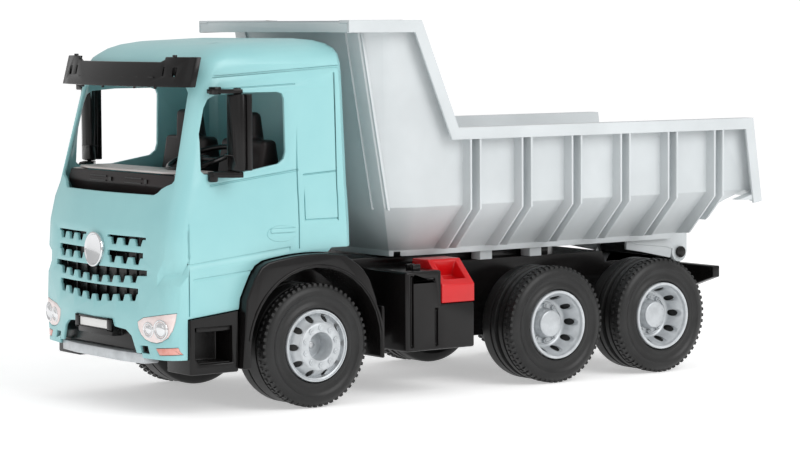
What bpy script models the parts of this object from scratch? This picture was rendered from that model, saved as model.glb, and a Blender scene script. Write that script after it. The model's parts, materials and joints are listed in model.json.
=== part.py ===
"""Toy three-axle tipper truck, in metres with +Z up.

The truck stands on z = 0 with its origin at the middle of its footprint. Its nose points along -Y,
so +X is its left-hand side. Every size below is in millimetres and MM turns it into metres.
"""

import math

import bmesh
import bpy

MM = 0.001
GAP = 0.3  # clearance left between two pieces that touch

# Overall
LENGTH = 624.0
CAB_HALF_WIDTH = 103.0
BED_HALF_WIDTH = 113.7
FRONT = -LENGTH / 2
TAIL = LENGTH / 2

# Wheels and axles
WHEEL_RADIUS = 50.0
TYRE_WIDTH = 46.0
TYRE_OUTER_X = 111.7
RIM_RADIUS = 29.2
TYRE_SIDES = 32
RIM_SIDES = 20
AXLE_RADIUS = 3.0
BORE_RADIUS = AXLE_RADIUS + 2 * GAP
RIM_HOLES = 10
FRONT_AXLE_SETBACK = 141.3
REAR_AXLE_SETBACK = 116.0
BOGIE_TYRE_GAP = 18.1
AXLE_Z = WHEEL_RADIUS
FRONT_AXLE_Y = FRONT + FRONT_AXLE_SETBACK
REAR_AXLE_Y = TAIL - REAR_AXLE_SETBACK
MID_AXLE_Y = REAR_AXLE_Y - 2 * WHEEL_RADIUS - BOGIE_TYRE_GAP
TYRE_INNER_X = TYRE_OUTER_X - TYRE_WIDTH

# Front mudguards
ARCH_CLEARANCE = 12.5
FENDER_CROWN = 11.5
FENDER_OUTER_X = 112.0
FENDER_INNER_X = TYRE_INNER_X + 1.0
ARCH_RADIUS = WHEEL_RADIUS + ARCH_CLEARANCE
FENDER_TOP = AXLE_Z + ARCH_RADIUS + FENDER_CROWN
FENDER_FRONT_WALL = 7.8
FENDER_REAR_WALL = 3.2
FENDER_FRONT_Y = FRONT_AXLE_Y - ARCH_RADIUS - FENDER_FRONT_WALL
FENDER_REAR_Y = FRONT_AXLE_Y + ARCH_RADIUS + FENDER_REAR_WALL

# Chassis
CHASSIS_HALF = 48.0
CHASSIS_WALL = 4.0
CHASSIS_BOTTOM = 38.0
CHASSIS_REAR = TAIL - 39.3

# Load bed
DECK_CLEARANCE = 12.0
DECK_Z = 2 * WHEEL_RADIUS + DECK_CLEARANCE  # lowest edge of the bed, over the tyres
CHASSIS_TOP = DECK_Z - 8.0
CHASSIS_TAIL_TOP = DECK_Z - 18.0
BED_WALL = 2.6
BED_FLOOR = 3.0
BED_SKIRT = 4.0
BED_WALL_INSET = 11.7  # from the rail's outer face to the side wall
BED_BEND_Z = DECK_Z + 44.0
BED_LOW_RAIL_Z = DECK_Z + 109.1
BED_HIGH_RAIL_Z = DECK_Z + 198.0
BED_BASE_HALF = 61.0
BED_FRONT_Y = FRONT + 173.1
BED_RAIL_DROP = 10.0
BED_RAIL_LIP = 2.2
BED_RAIL_TOP = 2.5
BED_CORNER_X = 10.0  # the front corner of the walls is a flat chamfer
BED_CORNER_Y = 26.0
FIN_THICKNESS = 2.0
FIN_PITCH = 10.0
FIN_PAIRS = 6
FIN_FIRST_Y = BED_FRONT_Y + 122.3
FIN_LAST_Y = TAIL - 57.0
PIVOT_Y = TAIL - 46.0
PIVOT_Z = DECK_Z - 13.0
PIVOT_PIN_RADIUS = 3.0
EAR_INNER_X = CHASSIS_HALF + 2.0
EAR_THICKNESS = 4.5
EAR_RADIUS = 9.0
LUG_RADIUS = 8.0

# Cab
CAB_WALL = 3.0
CAB_REAR_Y = FRONT + 183.0
CAB_CORNER = 18.0
CAB_NOSE_BOTTOM = 46.0
CAB_STEP_Y = FRONT + 26.0  # where the nose returns and the side steps begin
CAB_SILL_Z = 78.0
CAB_FLOOR_Z = FENDER_TOP + 3.0
CAB_REAR_SILL_Z = FENDER_TOP + 3.4
CAB_CEILING_Z = 293.6
ROOF_EDGE_Z = 276.0
ROOF_FALL = 7.0  # how much lower the roof is over the windscreen than at its back
SCREEN_BASE_Z = 174.0
SCREEN_TOP_Z = 258.0
VISOR_BOTTOM = 258.5
VISOR_TOP = 278.0
VISOR_END_RISE = 4.0
VISOR_END_X = 68.0
SEAT_HALF = 32.0
SEAT_X = 44.0
GRILLE_TOOTH = 5.4
GRILLE_TOOTH_PITCH = 15.8

# Side boxes and wheel chocks
BOX_OUTER_X = 112.0
BOX_FRONT_Y = FENDER_REAR_Y + 22.3
BOX_REAR_Y = MID_AXLE_Y - WHEEL_RADIUS - 39.9
BOX_SPLIT_Y = (BOX_FRONT_Y + BOX_REAR_Y) / 2 + 1.2
BOX_BOTTOM = 38.0
BOX_FRONT_TOP = DECK_Z - 8.0
BOX_LEDGE_Z = DECK_Z - 36.0
CHOCK_HEIGHT = DECK_Z - BOX_LEDGE_Z - 1.0

# Mirrors
MIRROR_PIN_X = CAB_HALF_WIDTH + 13.5
MIRROR_PIN_Y = FRONT + 64.5
MIRROR_PIN_RADIUS = 1.8
MIRROR_BOTTOM = 193.0
MIRROR_TOP = 253.0
MIRROR_HALF_WIDTH = 11.0

# Colours: red, green, blue, roughness, metallic
FINISHES = {
    "cab_blue": (0.36, 0.68, 0.68, 0.38, 0.0),
    "bed_grey": (0.76, 0.80, 0.81, 0.40, 0.0),
    "black_plastic": (0.012, 0.012, 0.013, 0.45, 0.0),
    "tyre_black": (0.035, 0.035, 0.036, 0.80, 0.0),
    "rim_silver": (0.60, 0.62, 0.63, 0.35, 0.6),
    "chock_red": (0.66, 0.01, 0.02, 0.35, 0.0),
    "lamp_clear": (0.85, 0.72, 0.70, 0.10, 0.0),
    "fog_amber": (0.85, 0.35, 0.25, 0.15, 0.0),
    "steel": (0.55, 0.55, 0.56, 0.30, 1.0),
    "plate_white": (0.80, 0.81, 0.80, 0.40, 0.0),
    "seat_grey": (0.10, 0.10, 0.11, 0.60, 0.0),
}


# ---------------------------------------------------------------- tools


def finish_of(key):
    """The Principled material of one finish, made once."""
    if key in bpy.data.materials:
        return bpy.data.materials[key]
    red, green, blue, roughness, metallic = FINISHES[key]
    material = bpy.data.materials.new(key)
    material.use_nodes = True
    shader = material.node_tree.nodes["Principled BSDF"]
    shader.inputs["Base Color"].default_value = (red, green, blue, 1.0)
    shader.inputs["Roughness"].default_value = roughness
    shader.inputs["Metallic"].default_value = metallic
    return material


def solid(bm):
    """A linked object made from a bmesh in millimetres."""
    bmesh.ops.recalc_face_normals(bm, faces=bm.faces)
    bmesh.ops.scale(bm, vec=(MM, MM, MM), verts=bm.verts)
    mesh = bpy.data.meshes.new("shape")
    bm.to_mesh(mesh)
    bm.free()
    made = bpy.data.objects.new("shape", mesh)
    bpy.context.scene.collection.objects.link(made)
    return made


def loft(rings):
    """A closed solid through rings of points, with a flat cap on each end."""
    bm = bmesh.new()
    rows = [[bm.verts.new(point) for point in ring] for ring in rings]
    count = len(rows[0])
    for low, high in zip(rows, rows[1:]):
        for i in range(count):
            j = (i + 1) % count
            bm.faces.new((low[i], low[j], high[j], high[i]))
    bm.faces.new(rows[0])
    bm.faces.new(rows[-1])
    return solid(bm)


def prism(axis, outline, low, high):
    """An outline in the other two axes' plane, extruded along an axis."""
    place = {
        "X": lambda a, b, t: (t, a, b),
        "Y": lambda a, b, t: (a, t, b),
        "Z": lambda a, b, t: (a, b, t),
    }[axis]
    return loft([[place(a, b, t) for a, b in outline] for t in (low, high)])


def box(x, y, z):
    """A block between pairs of x, y and z."""
    return prism("Z", [(x[0], y[0]), (x[1], y[0]), (x[1], y[1]), (x[0], y[1])], z[0], z[1])


def circle(radius, sides, centre=(0.0, 0.0)):
    """Points of a regular polygon with a flat side down."""
    points = []
    for i in range(sides):
        angle = 2 * math.pi * (i + 0.5) / sides - math.pi / 2
        points.append((centre[0] + radius * math.cos(angle), centre[1] + radius * math.sin(angle)))
    return points


def arc(centre, radius, start, end, steps):
    """Points along an arc, angles in degrees."""
    points = []
    for i in range(steps + 1):
        angle = math.radians(start + (end - start) * i / steps)
        points.append((centre[0] + radius * math.cos(angle), centre[1] + radius * math.sin(angle)))
    return points


def rod(axis, centre, radius, low, high, sides=12):
    """A round bar along an axis."""
    return prism(axis, circle(radius, sides, centre), low, high)


def turned(profile, y, z, sides):
    """A closed profile of (x, radius) points turned about a line along X."""
    bm = bmesh.new()
    rows = []
    for x, radius in profile:
        ring = circle(radius / math.cos(math.pi / sides), sides, (y, z))
        rows.append([bm.verts.new((x, a, b)) for a, b in ring])
    for k, row in enumerate(rows):
        after = rows[(k + 1) % len(rows)]
        for i in range(sides):
            j = (i + 1) % sides
            bm.faces.new((row[i], row[j], after[j], after[i]))
    return solid(bm)


def eased(points, steps):
    """Points on a smooth curve that runs through an open row of points."""
    curve = []
    for i in range(len(points) - 1):
        before, start = points[max(i - 1, 0)], points[i]
        end, after = points[i + 1], points[min(i + 2, len(points) - 1)]
        for k in range(steps):
            t = k / steps
            weights = (-t**3 / 2 + t**2 - t / 2, 1.5 * t**3 - 2.5 * t**2 + 1,
                       -1.5 * t**3 + 2 * t**2 + t / 2, t**3 / 2 - t**2 / 2)
            near = (before, start, end, after)
            curve.append(tuple(sum(w * point[axis] for w, point in zip(weights, near)) for axis in (0, 1)))
    return curve + [points[-1]]


def offset_path(points, distance):
    """An open path of (y, z) points moved sideways to its right by a distance."""
    moved = []
    for i, (y, z) in enumerate(points):
        normals = []
        for a, b in ((i - 1, i), (i, i + 1)):
            if a >= 0 and b < len(points):
                dy, dz = points[b][0] - points[a][0], points[b][1] - points[a][1]
                run = math.hypot(dy, dz)
                normals.append((dz / run, -dy / run))
        ny, nz = sum(n[0] for n in normals), sum(n[1] for n in normals)
        share = (ny * normals[0][0] + nz * normals[0][1])
        moved.append((y + ny * distance / share, z + nz * distance / share))
    return moved


def apply_boolean(target, tool, operation):
    """Combine a tool into a target and throw the tool away."""
    step = target.modifiers.new("combine", "BOOLEAN")
    step.operation = operation
    step.object = tool
    bpy.context.view_layer.update()
    done = target.evaluated_get(bpy.context.evaluated_depsgraph_get())
    mesh = bpy.data.meshes.new_from_object(done)
    target.modifiers.clear()
    target.data = mesh
    bpy.data.objects.remove(tool)
    return target


def cut(target, *tools):
    for tool in tools:
        apply_boolean(target, tool, "DIFFERENCE")
    return target


def join(target, *tools):
    for tool in tools:
        apply_boolean(target, tool, "UNION")
    return target


def common(target, tool):
    return apply_boolean(target, tool, "INTERSECT")


def copy_of(shape):
    """A separate object with its own copy of a shape's mesh."""
    made = bpy.data.objects.new("shape", shape.data.copy())
    bpy.context.scene.collection.objects.link(made)
    return made


def mirrored(shape):
    """A copy of a shape on the other side of the truck."""
    made = copy_of(shape)
    bm = bmesh.new()
    bm.from_mesh(made.data)
    bmesh.ops.scale(bm, vec=(-1, 1, 1), verts=bm.verts)
    bmesh.ops.reverse_faces(bm, faces=bm.faces)
    bm.to_mesh(made.data)
    bm.free()
    return made


def piece(name, shape, finish, pivot=None):
    """Name a finished solid, give it its finish and put its origin on its joint's axis."""
    bm = bmesh.new()
    bm.from_mesh(shape.data)
    bmesh.ops.remove_doubles(bm, verts=bm.verts, dist=0.002 * MM)
    bmesh.ops.dissolve_degenerate(bm, edges=bm.edges, dist=0.001 * MM)
    origin = [v * MM for v in pivot or (0.0, 0.0, 0.0)]
    bmesh.ops.translate(bm, vec=[-v for v in origin], verts=bm.verts)
    bm.to_mesh(shape.data)
    bm.free()
    shape.location = origin
    shape.name = name
    shape.data.name = name
    shape.data.materials.clear()
    shape.data.materials.append(finish_of(finish))
    shape.data.set_sharp_from_angle(angle=math.radians(35))
    return shape


def both_sides(name, shape, finish, pivot=None):
    """A left piece and its mirror image on the right."""
    other = mirrored(shape)
    piece(name + "_left", shape, finish, pivot)
    turned_pivot = (-pivot[0], pivot[1], pivot[2]) if pivot else None
    piece(name + "_right", other, finish, turned_pivot)


# ---------------------------------------------------------------- wheels


def tyre_profile():
    """(x, radius) points of a tyre with chamfered shoulders, seated on the corners of its rim."""
    inner, outer = TYRE_INNER_X, TYRE_OUTER_X
    seat = RIM_RADIUS / math.cos(math.pi / RIM_SIDES) + GAP
    return [
        (inner, seat), (outer, seat), (outer, WHEEL_RADIUS - 6.5), (outer - 2.4, WHEEL_RADIUS - 0.6),
        (outer - 4.0, WHEEL_RADIUS), (inner + 4.0, WHEEL_RADIUS), (inner, WHEEL_RADIUS - 6.5),
    ]


def front_rim_profile():
    """A rim whose nut flange stands proud of its lip round a deep centre bore."""
    inner, lip = TYRE_INNER_X + 1.0, TYRE_OUTER_X + 0.5
    barrel = RIM_RADIUS - 2.5
    return [
        (inner, RIM_RADIUS), (lip, RIM_RADIUS), (lip, RIM_RADIUS - 2.2), (lip - 4.2, RIM_RADIUS - 3.0),
        (lip + 3.3, 18.2), (lip + 4.8, 16.9), (lip + 4.8, 10.6), (lip + 3.8, 9.8), (lip - 11.2, 9.6),
        (lip - 11.2, BORE_RADIUS), (inner, BORE_RADIUS), (inner, 7.5), (lip - 14.2, 7.5),
        (lip - 13.8, 12.4), (lip + 1.0, 12.6), (lip + 1.4, 15.6), (lip - 7.8, 24.8), (lip - 9.0, barrel),
        (inner, barrel),
    ]


def rear_rim_profile():
    """A deep dished rim with a hub that stands up in the dish."""
    inner, lip = TYRE_INNER_X + 1.0, TYRE_OUTER_X + 0.5
    barrel = RIM_RADIUS - 2.5
    return [
        (inner, RIM_RADIUS), (lip, RIM_RADIUS), (lip, RIM_RADIUS - 2.2), (lip - 3.0, RIM_RADIUS - 2.8),
        (lip - 19.0, 21.0), (lip - 20.0, 13.5), (lip - 12.8, 11.4), (lip - 12.8, BORE_RADIUS),
        (inner, BORE_RADIUS), (inner, 7.5), (lip - 23.0, 7.5), (lip - 23.0, 20.5), (lip - 16.0, 24.0),
        (lip - 10.0, barrel), (inner, barrel),
    ]


def rim(profile, y, hole_ring, hole_radius, hole_span):
    """A turned rim with a ring of holes through its disc."""
    shape = turned(profile, y, AXLE_Z, RIM_SIDES)
    for i in range(RIM_HOLES):
        angle = 2 * math.pi * (i + 0.5) / RIM_HOLES
        centre = (y + hole_ring * math.cos(angle), AXLE_Z + hole_ring * math.sin(angle))
        cut(shape, rod("X", centre, hole_radius, hole_span[0], hole_span[1], 6))
    return shape


def hub_cap(y):
    """A cap pressed into a rear hub over the end of its axle."""
    face = TYRE_OUTER_X + 0.5 - 12.8
    shape = rod("X", (y, AXLE_Z), 10.2, face + GAP, face + 2.6, 16)
    return join(shape, rod("X", (y, AXLE_Z), AXLE_RADIUS, face - 2.0, face + 1.0, 8))


def axle(y, half_length):
    return rod("X", (y, AXLE_Z), AXLE_RADIUS, -half_length, half_length)


def push_nut(y):
    """The spring nut on the end of the front axle, down in the rim's bore."""
    seat = TYRE_OUTER_X + 0.5 - 11.2
    return turned(
        [(seat + GAP, AXLE_RADIUS + 0.1), (seat + GAP, 7.5), (seat + 1.4, 7.5), (seat + 2.6, 5.0),
         (seat + 2.6, AXLE_RADIUS + 0.1)],
        y, AXLE_Z, 12,
    )


def build_wheels():
    lip = TYRE_OUTER_X + 0.5
    for place, y, twin in (
        ("front", FRONT_AXLE_Y, False),
        ("mid", MID_AXLE_Y, True),
        ("rear", REAR_AXLE_Y, True),
    ):
        centre = (TYRE_OUTER_X - TYRE_WIDTH / 2, y, AXLE_Z)
        both_sides("tyre_" + place, turned(tyre_profile(), y, AXLE_Z, TYRE_SIDES), "tyre_black", centre)
        if twin:
            both_sides("rim_" + place, rim(rear_rim_profile(), y, 22.4, 2.3, (lip - 26, lip - 2)),
                       "rim_silver", centre)
            both_sides("hub_cap_" + place, hub_cap(y), "rim_silver", centre)
            piece(place + "_axle", axle(y, lip - 15.5), "steel")
        else:
            both_sides("rim_" + place, rim(front_rim_profile(), y, 21.8, 2.6, (lip - 12, lip + 6)),
                       "rim_silver", centre)
            both_sides("axle_nut_" + place, push_nut(y), "steel", centre)
            piece(place + "_axle", axle(y, lip - 8.2), "steel")


# ---------------------------------------------------------------- chassis


def chassis_outline():
    """(y, z) outline of the frame, nose to tail."""
    return [
        (FRONT + 24, 62), (FRONT + 24, 84), (FENDER_FRONT_Y + 4, 84), (FENDER_FRONT_Y + 14, CHASSIS_TOP),
        (REAR_AXLE_Y - 16, CHASSIS_TOP), (REAR_AXLE_Y - 12, CHASSIS_TAIL_TOP),
        (CHASSIS_REAR, CHASSIS_TAIL_TOP), (CHASSIS_REAR, CHASSIS_TAIL_TOP - 19),
        (REAR_AXLE_Y + 40, CHASSIS_BOTTOM + 20), (REAR_AXLE_Y + 20, CHASSIS_BOTTOM),
        (FRONT_AXLE_Y - 20, CHASSIS_BOTTOM), (FRONT_AXLE_Y - 46, CHASSIS_BOTTOM + 12),
    ]


def build_chassis():
    """A moulded frame, hollow from below on both sides of a keel, with a web at each axle."""
    shape = prism("X", chassis_outline(), -CHASSIS_HALF, CHASSIS_HALF)
    web = 9.0
    bays = [
        (FRONT_AXLE_Y + web, (FRONT_AXLE_Y + MID_AXLE_Y) / 2 - web / 2),
        ((FRONT_AXLE_Y + MID_AXLE_Y) / 2 + web / 2, MID_AXLE_Y - web),
        (MID_AXLE_Y + web, REAR_AXLE_Y - web),
    ]
    for low, high in bays:
        for side in (-1, 1):
            a, b = sorted((side * CHASSIS_WALL / 2, side * (CHASSIS_HALF - CHASSIS_WALL)))
            ceiling = min(CHASSIS_TOP, CHASSIS_TAIL_TOP + 6) - CHASSIS_WALL
            cut(shape, box((a, b), (low, high), (CHASSIS_BOTTOM - 5, ceiling)))
    lug = prism("X", [(PIVOT_Y - LUG_RADIUS, CHASSIS_TAIL_TOP - 5)] + [(PIVOT_Y + 6.3, CHASSIS_TAIL_TOP - 5)]
                + arc((PIVOT_Y, PIVOT_Z), LUG_RADIUS, -38, 180, 10), -CHASSIS_HALF + 0.6, CHASSIS_HALF - 0.6)
    join(shape, lug)
    reach = CHASSIS_HALF + 5
    for y in (FRONT_AXLE_Y, MID_AXLE_Y, REAR_AXLE_Y):
        cut(shape, rod("X", (y, AXLE_Z), BORE_RADIUS, -reach, reach))
    cut(shape, rod("X", (PIVOT_Y, PIVOT_Z), PIVOT_PIN_RADIUS + 2 * GAP, -reach, reach))
    piece("chassis_frame", shape, "black_plastic")


def build_rear_bumper():
    front = CHASSIS_REAR + GAP
    top = CHASSIS_TAIL_TOP - 6
    outline = [(-92, top - 10), (-50, top - 24), (50, top - 24), (92, top - 10), (92, top), (-92, top)]
    bar = prism("Y", outline, front, front + 8)
    piece("rear_bumper", bar, "black_plastic")


def build_pivot_pin():
    tip = EAR_INNER_X + EAR_THICKNESS + GAP
    pin = rod("X", (PIVOT_Y, PIVOT_Z), PIVOT_PIN_RADIUS, -tip - 2.0, tip + 2.0)
    join(pin, rod("X", (PIVOT_Y, PIVOT_Z), 5.2, tip, tip + 2.6))
    join(pin, rod("X", (PIVOT_Y, PIVOT_Z), 5.2, -tip - 2.6, -tip))
    piece("bed_pivot_pin", pin, "steel")


# ---------------------------------------------------------------- load bed


def bed_ring(z, inset):
    """Plan outline of the bed's walls at a height, moved inwards by an inset."""
    wall_half = BED_HALF_WIDTH - BED_WALL_INSET
    size = 1.0
    if z >= BED_BEND_Z:
        half = wall_half
        front = BED_FRONT_Y + 48.9 - (z - BED_BEND_Z) * 27.0 / 152.0
    else:
        share = min(1.0, (BED_BEND_Z - z) / (BED_BEND_Z - DECK_Z - BED_SKIRT - 1))
        half = wall_half + (BED_BASE_HALF - wall_half) * share
        front = BED_FRONT_Y + 48.9 + 31.0 * share
        size = 1.0 - 0.4 * share
    wide, deep = BED_CORNER_X * size, BED_CORNER_Y * size
    slant = math.hypot(wide, deep)
    left = [(half - inset, front + deep + inset * (slant - deep) / wide),
            (half - wide - inset * (slant - wide) / deep, front + inset)]
    right = [(-x, y) for x, y in reversed(left)]
    rear = TAIL + 20
    return [(x, y, z) for x, y in [(half, rear)] + left + right + [(-half, rear)]]


def bed_rail_path():
    """(y, z) path of the rail's top edge, from the canopy's front to the tail."""
    return [
        (BED_FRONT_Y, BED_HIGH_RAIL_Z), (BED_FRONT_Y + 72.4, BED_HIGH_RAIL_Z),
        (BED_FRONT_Y + 109.8, BED_LOW_RAIL_Z), (TAIL - 10.8, BED_LOW_RAIL_Z), (TAIL, DECK_Z + 34.0),
    ]


def bed_tail_path(lift):
    """(y, z) path of the floor's ramp at the tail."""
    return [(TAIL - 57, DECK_Z + BED_SKIRT + lift), (TAIL - 44, DECK_Z + 22 + lift),
            (TAIL - 26, DECK_Z + 35 + lift), (TAIL - 9.5, DECK_Z + 44 + lift)]


def fin(y):
    """One thin upright fin on the left wall, bent in along the lower wall."""
    wall = BED_HALF_WIDTH - BED_WALL_INSET
    outline = [
        (wall - 1, BED_LOW_RAIL_Z - 2), (BED_HALF_WIDTH - 1, BED_LOW_RAIL_Z - 2),
        (BED_HALF_WIDTH - 1, BED_BEND_Z - 3.5), (BED_BASE_HALF + 18, DECK_Z + 6),
        (BED_BASE_HALF + 0.5, DECK_Z + 5), (BED_BASE_HALF - 1.2, DECK_Z + 7), (wall - 1.5, BED_BEND_Z),
    ]
    return prism("Y", outline, y, y + FIN_THICKNESS)


def bed_ear():
    """A hinge plate under the floor, round the pivot pin."""
    outline = (
        [(PIVOT_Y - 62, DECK_Z + 6), (PIVOT_Y - 62, DECK_Z - 0.5), (PIVOT_Y - 50, DECK_Z - 4),
         (PIVOT_Y - 14, DECK_Z - 8)]
        + arc((PIVOT_Y, PIVOT_Z), EAR_RADIUS, 160, 360, 9)
        + [(PIVOT_Y + EAR_RADIUS, DECK_Z + 36), (PIVOT_Y - 11, DECK_Z + 12)]
    )
    return prism("X", outline, EAR_INNER_X, EAR_INNER_X + EAR_THICKNESS)


def build_bed():
    path = bed_rail_path()
    low = DECK_Z
    shape = loft([bed_ring(z, 0.0) for z in
                  (low, low + BED_SKIRT + 1, BED_BEND_Z, BED_HIGH_RAIL_Z)])
    pitch = (FIN_LAST_Y - FIN_FIRST_Y) / (FIN_PAIRS - 1)
    for i in range(FIN_PAIRS):
        for y in (FIN_FIRST_Y + i * pitch, FIN_FIRST_Y + i * pitch + FIN_PITCH):
            rib = fin(y)
            other = mirrored(rib)
            join(shape, rib, other)
    inner_edge = offset_path(path, 1.0)
    side = (
        [(BED_FRONT_Y - 5, BED_HIGH_RAIL_Z - 1.0)] + inner_edge[1:-1] + [(TAIL - 1.6, DECK_Z + 38)]
        + list(reversed(bed_tail_path(0.0))) + [(TAIL - 62, DECK_Z), (BED_FRONT_Y - 5, DECK_Z)]
    )
    common(shape, prism("X", side, -BED_HALF_WIDTH - 5, BED_HALF_WIDTH + 5))
    cut(shape, box((-BED_BASE_HALF + 2.5, BED_BASE_HALF - 2.5), (BED_FRONT_Y + 84, TAIL - 63),
                   (DECK_Z - 5, DECK_Z + BED_SKIRT)))
    flange = path + list(reversed(offset_path(path, BED_RAIL_TOP)))
    lip = path + list(reversed(offset_path(path, BED_RAIL_DROP)))
    wall = BED_HALF_WIDTH - BED_WALL_INSET
    for side_of in (1, -1):
        a, b = sorted((side_of * (wall - 2.0), side_of * BED_HALF_WIDTH))
        join(shape, prism("X", flange, a, b))
        a, b = sorted((side_of * (BED_HALF_WIDTH - BED_RAIL_LIP), side_of * BED_HALF_WIDTH))
        join(shape, prism("X", lip, a, b))
    plate_half = BED_HALF_WIDTH - 0.8
    join(shape, box((-plate_half, plate_half), (BED_FRONT_Y + 0.4, BED_FRONT_Y + 60),
                    (BED_HIGH_RAIL_Z - 2.2, BED_HIGH_RAIL_Z - 0.3)))
    join(shape, box((-plate_half, plate_half), (BED_FRONT_Y + 0.2, BED_FRONT_Y + 2.4),
                    (BED_HIGH_RAIL_Z - BED_RAIL_DROP + 0.2, BED_HIGH_RAIL_Z - 0.9)))
    ear = bed_ear()
    join(shape, mirrored(ear), ear)
    for y in (FIN_FIRST_Y + pitch + 5, FIN_FIRST_Y + 2 * pitch + 5):
        for side_of in (1, -1):
            a, b = sorted((side_of * (CHASSIS_HALF - 4), side_of * (CHASSIS_HALF + 9)))
            join(shape, box((a, b), (y - 6.5, y + 6.5), (CHASSIS_TOP + GAP, DECK_Z + BED_SKIRT + 1)))
    cavity = loft([bed_ring(z, BED_WALL) for z in
                   (low + BED_SKIRT + BED_FLOOR, BED_BEND_Z, BED_HIGH_RAIL_Z + 20)])
    ramp = bed_tail_path(BED_FLOOR + 0.5)
    floor = low + BED_SKIRT + BED_FLOOR
    above = ([(BED_FRONT_Y - 5, floor - 1), (TAIL - 57.5, floor - 1)] + ramp
             + [(TAIL + 30, ramp[-1][1] + 12), (TAIL + 30, 600), (BED_FRONT_Y - 5, 600)])
    common(cavity, prism("X", above, -BED_HALF_WIDTH, BED_HALF_WIDTH))
    cut(shape, cavity)
    reach = EAR_INNER_X + EAR_THICKNESS + 5
    cut(shape, rod("X", (PIVOT_Y, PIVOT_Z), PIVOT_PIN_RADIUS + 2 * GAP, -reach, reach))
    piece("tipper_body", shape, "bed_grey", (0.0, PIVOT_Y, PIVOT_Z))


# ---------------------------------------------------------------- cab


def cab_levels():
    """Rows of height, nose centre, nose side, half width, rear and corner notch, bottom to top."""
    half = CAB_HALF_WIDTH
    rear = CAB_REAR_Y
    return [
        (CAB_NOSE_BOTTOM, FRONT + 1.6, FRONT + 11, half - 0.5, rear, 0.0),
        (78, FRONT, FRONT + 10, half, rear, 0.0),
        (104, FRONT + 1, FRONT + 11, half, rear, 0.0),
        (113, FRONT + 1.6, FRONT + 11.5, half, rear, 7.5),
        (125, FRONT + 2.4, FRONT + 12, half, rear, 0.0),
        (147, FRONT + 4, FRONT + 13.5, half, rear - 0.5, 0.0),
        (166, FRONT + 7.5, FRONT + 18, half - 1, rear - 1, 0.0),
        (178, FRONT + 11, FRONT + 23, half - 2.2, rear - 1.3, 0.0),
        (257, FRONT + 35, FRONT + 43.5, half - 5, rear - 3.3, 0.0),
        (ROOF_EDGE_Z, FRONT + 41, FRONT + 49.5, half - 6, rear - 4, 0.0),
        (283, FRONT + 44, FRONT + 52.5, half - 7.3, rear - 5.5, 0.0),
        (288, FRONT + 48.5, FRONT + 56.5, half - 9.8, rear - 8, 0.0),
        (292, FRONT + 55, FRONT + 63, half - 14.5, rear - 13, 0.0),
        (295, FRONT + 64, FRONT + 72, half - 21, rear - 21, 0.0),
        (297, FRONT + 78, FRONT + 85, half - 31, rear - 34, 0.0),
    ]


def cab_ring(level, inset):
    """Plan outline of the cab at one level, moved inwards by an inset."""
    z, nose, shoulder, half, rear, notch = level
    half, nose, shoulder, rear = half - inset, nose + inset, shoulder + inset, rear - inset
    corner = CAB_CORNER - inset
    side = [(x, nose + (shoulder - nose) * (x / 95.0) ** 2) for x in (0.0, 34.0, 64.0)]
    start_y = nose + (shoulder - nose) * ((half - corner) / 95.0) ** 2
    for step in range(5):
        angle = math.radians(90.0 * step / 4)
        x = half - corner + corner * math.sin(angle)
        y = start_y + corner * (1 - math.cos(angle))
        depth = notch * math.sin(2 * angle) ** 0.5 if 0 < step < 4 else 0.0
        side.append((x - depth * 0.7, y + depth * 0.7))
    side += [(half, rear - 6), (half - 5, rear)]
    other = [(-x, y) for x, y in reversed(side[1:])]
    share = min(1.0, max(0.0, (z - ROOF_EDGE_Z) / 12.0)) / (CAB_REAR_Y - FRONT)
    return [(x, y, z - ROOF_FALL * share * (CAB_REAR_Y - y)) for x, y in side + other]


def cab_hull(inset):
    """The cab's solid outer form, or the same form moved inwards."""
    levels = cab_levels()
    if inset:
        levels[0] = (CAB_NOSE_BOTTOM - 20, *levels[0][1:])
        levels = [row for row in levels if row[0] < CAB_CEILING_Z - 1]
        levels.append((CAB_CEILING_Z, FRONT + 62, FRONT + 70, CAB_HALF_WIDTH - 18, CAB_REAR_Y - 20, 0.0))
    return loft([cab_ring(level, inset) for level in levels])


def skin():
    """The cab's wall as a closed shell, open below."""
    return cut(cab_hull(0.0), cab_hull(CAB_WALL))


def fender_crown(grow):
    """(y, z) curve over the top of a mudguard, front to back, moved outwards by a distance."""
    top, front, rear = FENDER_TOP + grow, FENDER_FRONT_Y - grow, FENDER_REAR_Y + grow
    return eased([(front + 4, top - 33), (front + 18, top - 8), (front + 40, top - 2), (FRONT_AXLE_Y - 6, top),
                  (FRONT_AXLE_Y + 17, top - 1), (FRONT_AXLE_Y + 32.5, top - 5), (rear - 13, top - 24),
                  (rear, top - 66)], 3)


def fender_outline(grow):
    """(y, z) outline of a mudguard's outer edge, front foot to rear foot."""
    return [(FENDER_FRONT_Y - grow, 36)] + fender_crown(grow) + [(FENDER_REAR_Y + grow, 36)]


def side_window():
    """(y, z) outline of a door's window."""
    return [
        (FRONT + 41, 193), (FRONT + 41.5, 222), (FRONT + 46.5, 242), (FRONT + 50, 249), (FRONT + 56, 252),
        (FRONT + 78, 253.5), (FRONT + 114, 253.5), (FRONT + 118.5, 252), (FRONT + 120.2, 248),
        (FRONT + 120.2, 206), (FRONT + 118.5, 200.5), (FRONT + 113, 196.5), (FRONT + 76, 190.5),
        (FRONT + 44, 190.5),
    ]


def mirror_outline(points):
    """An outline of its right half, in order from top to bottom, closed by its mirror image."""
    return points + [(-x, z) for x, z in reversed(points)]


def screen_outline():
    """(x, z) outline of the windscreen opening."""
    return mirror_outline([(78, SCREEN_TOP_Z), (82, SCREEN_TOP_Z - 4), (88.5, 186), (86.5, 183.5), (81, 181.5),
                           (76, 179), (73, 176), (69, SCREEN_BASE_Z)])


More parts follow.
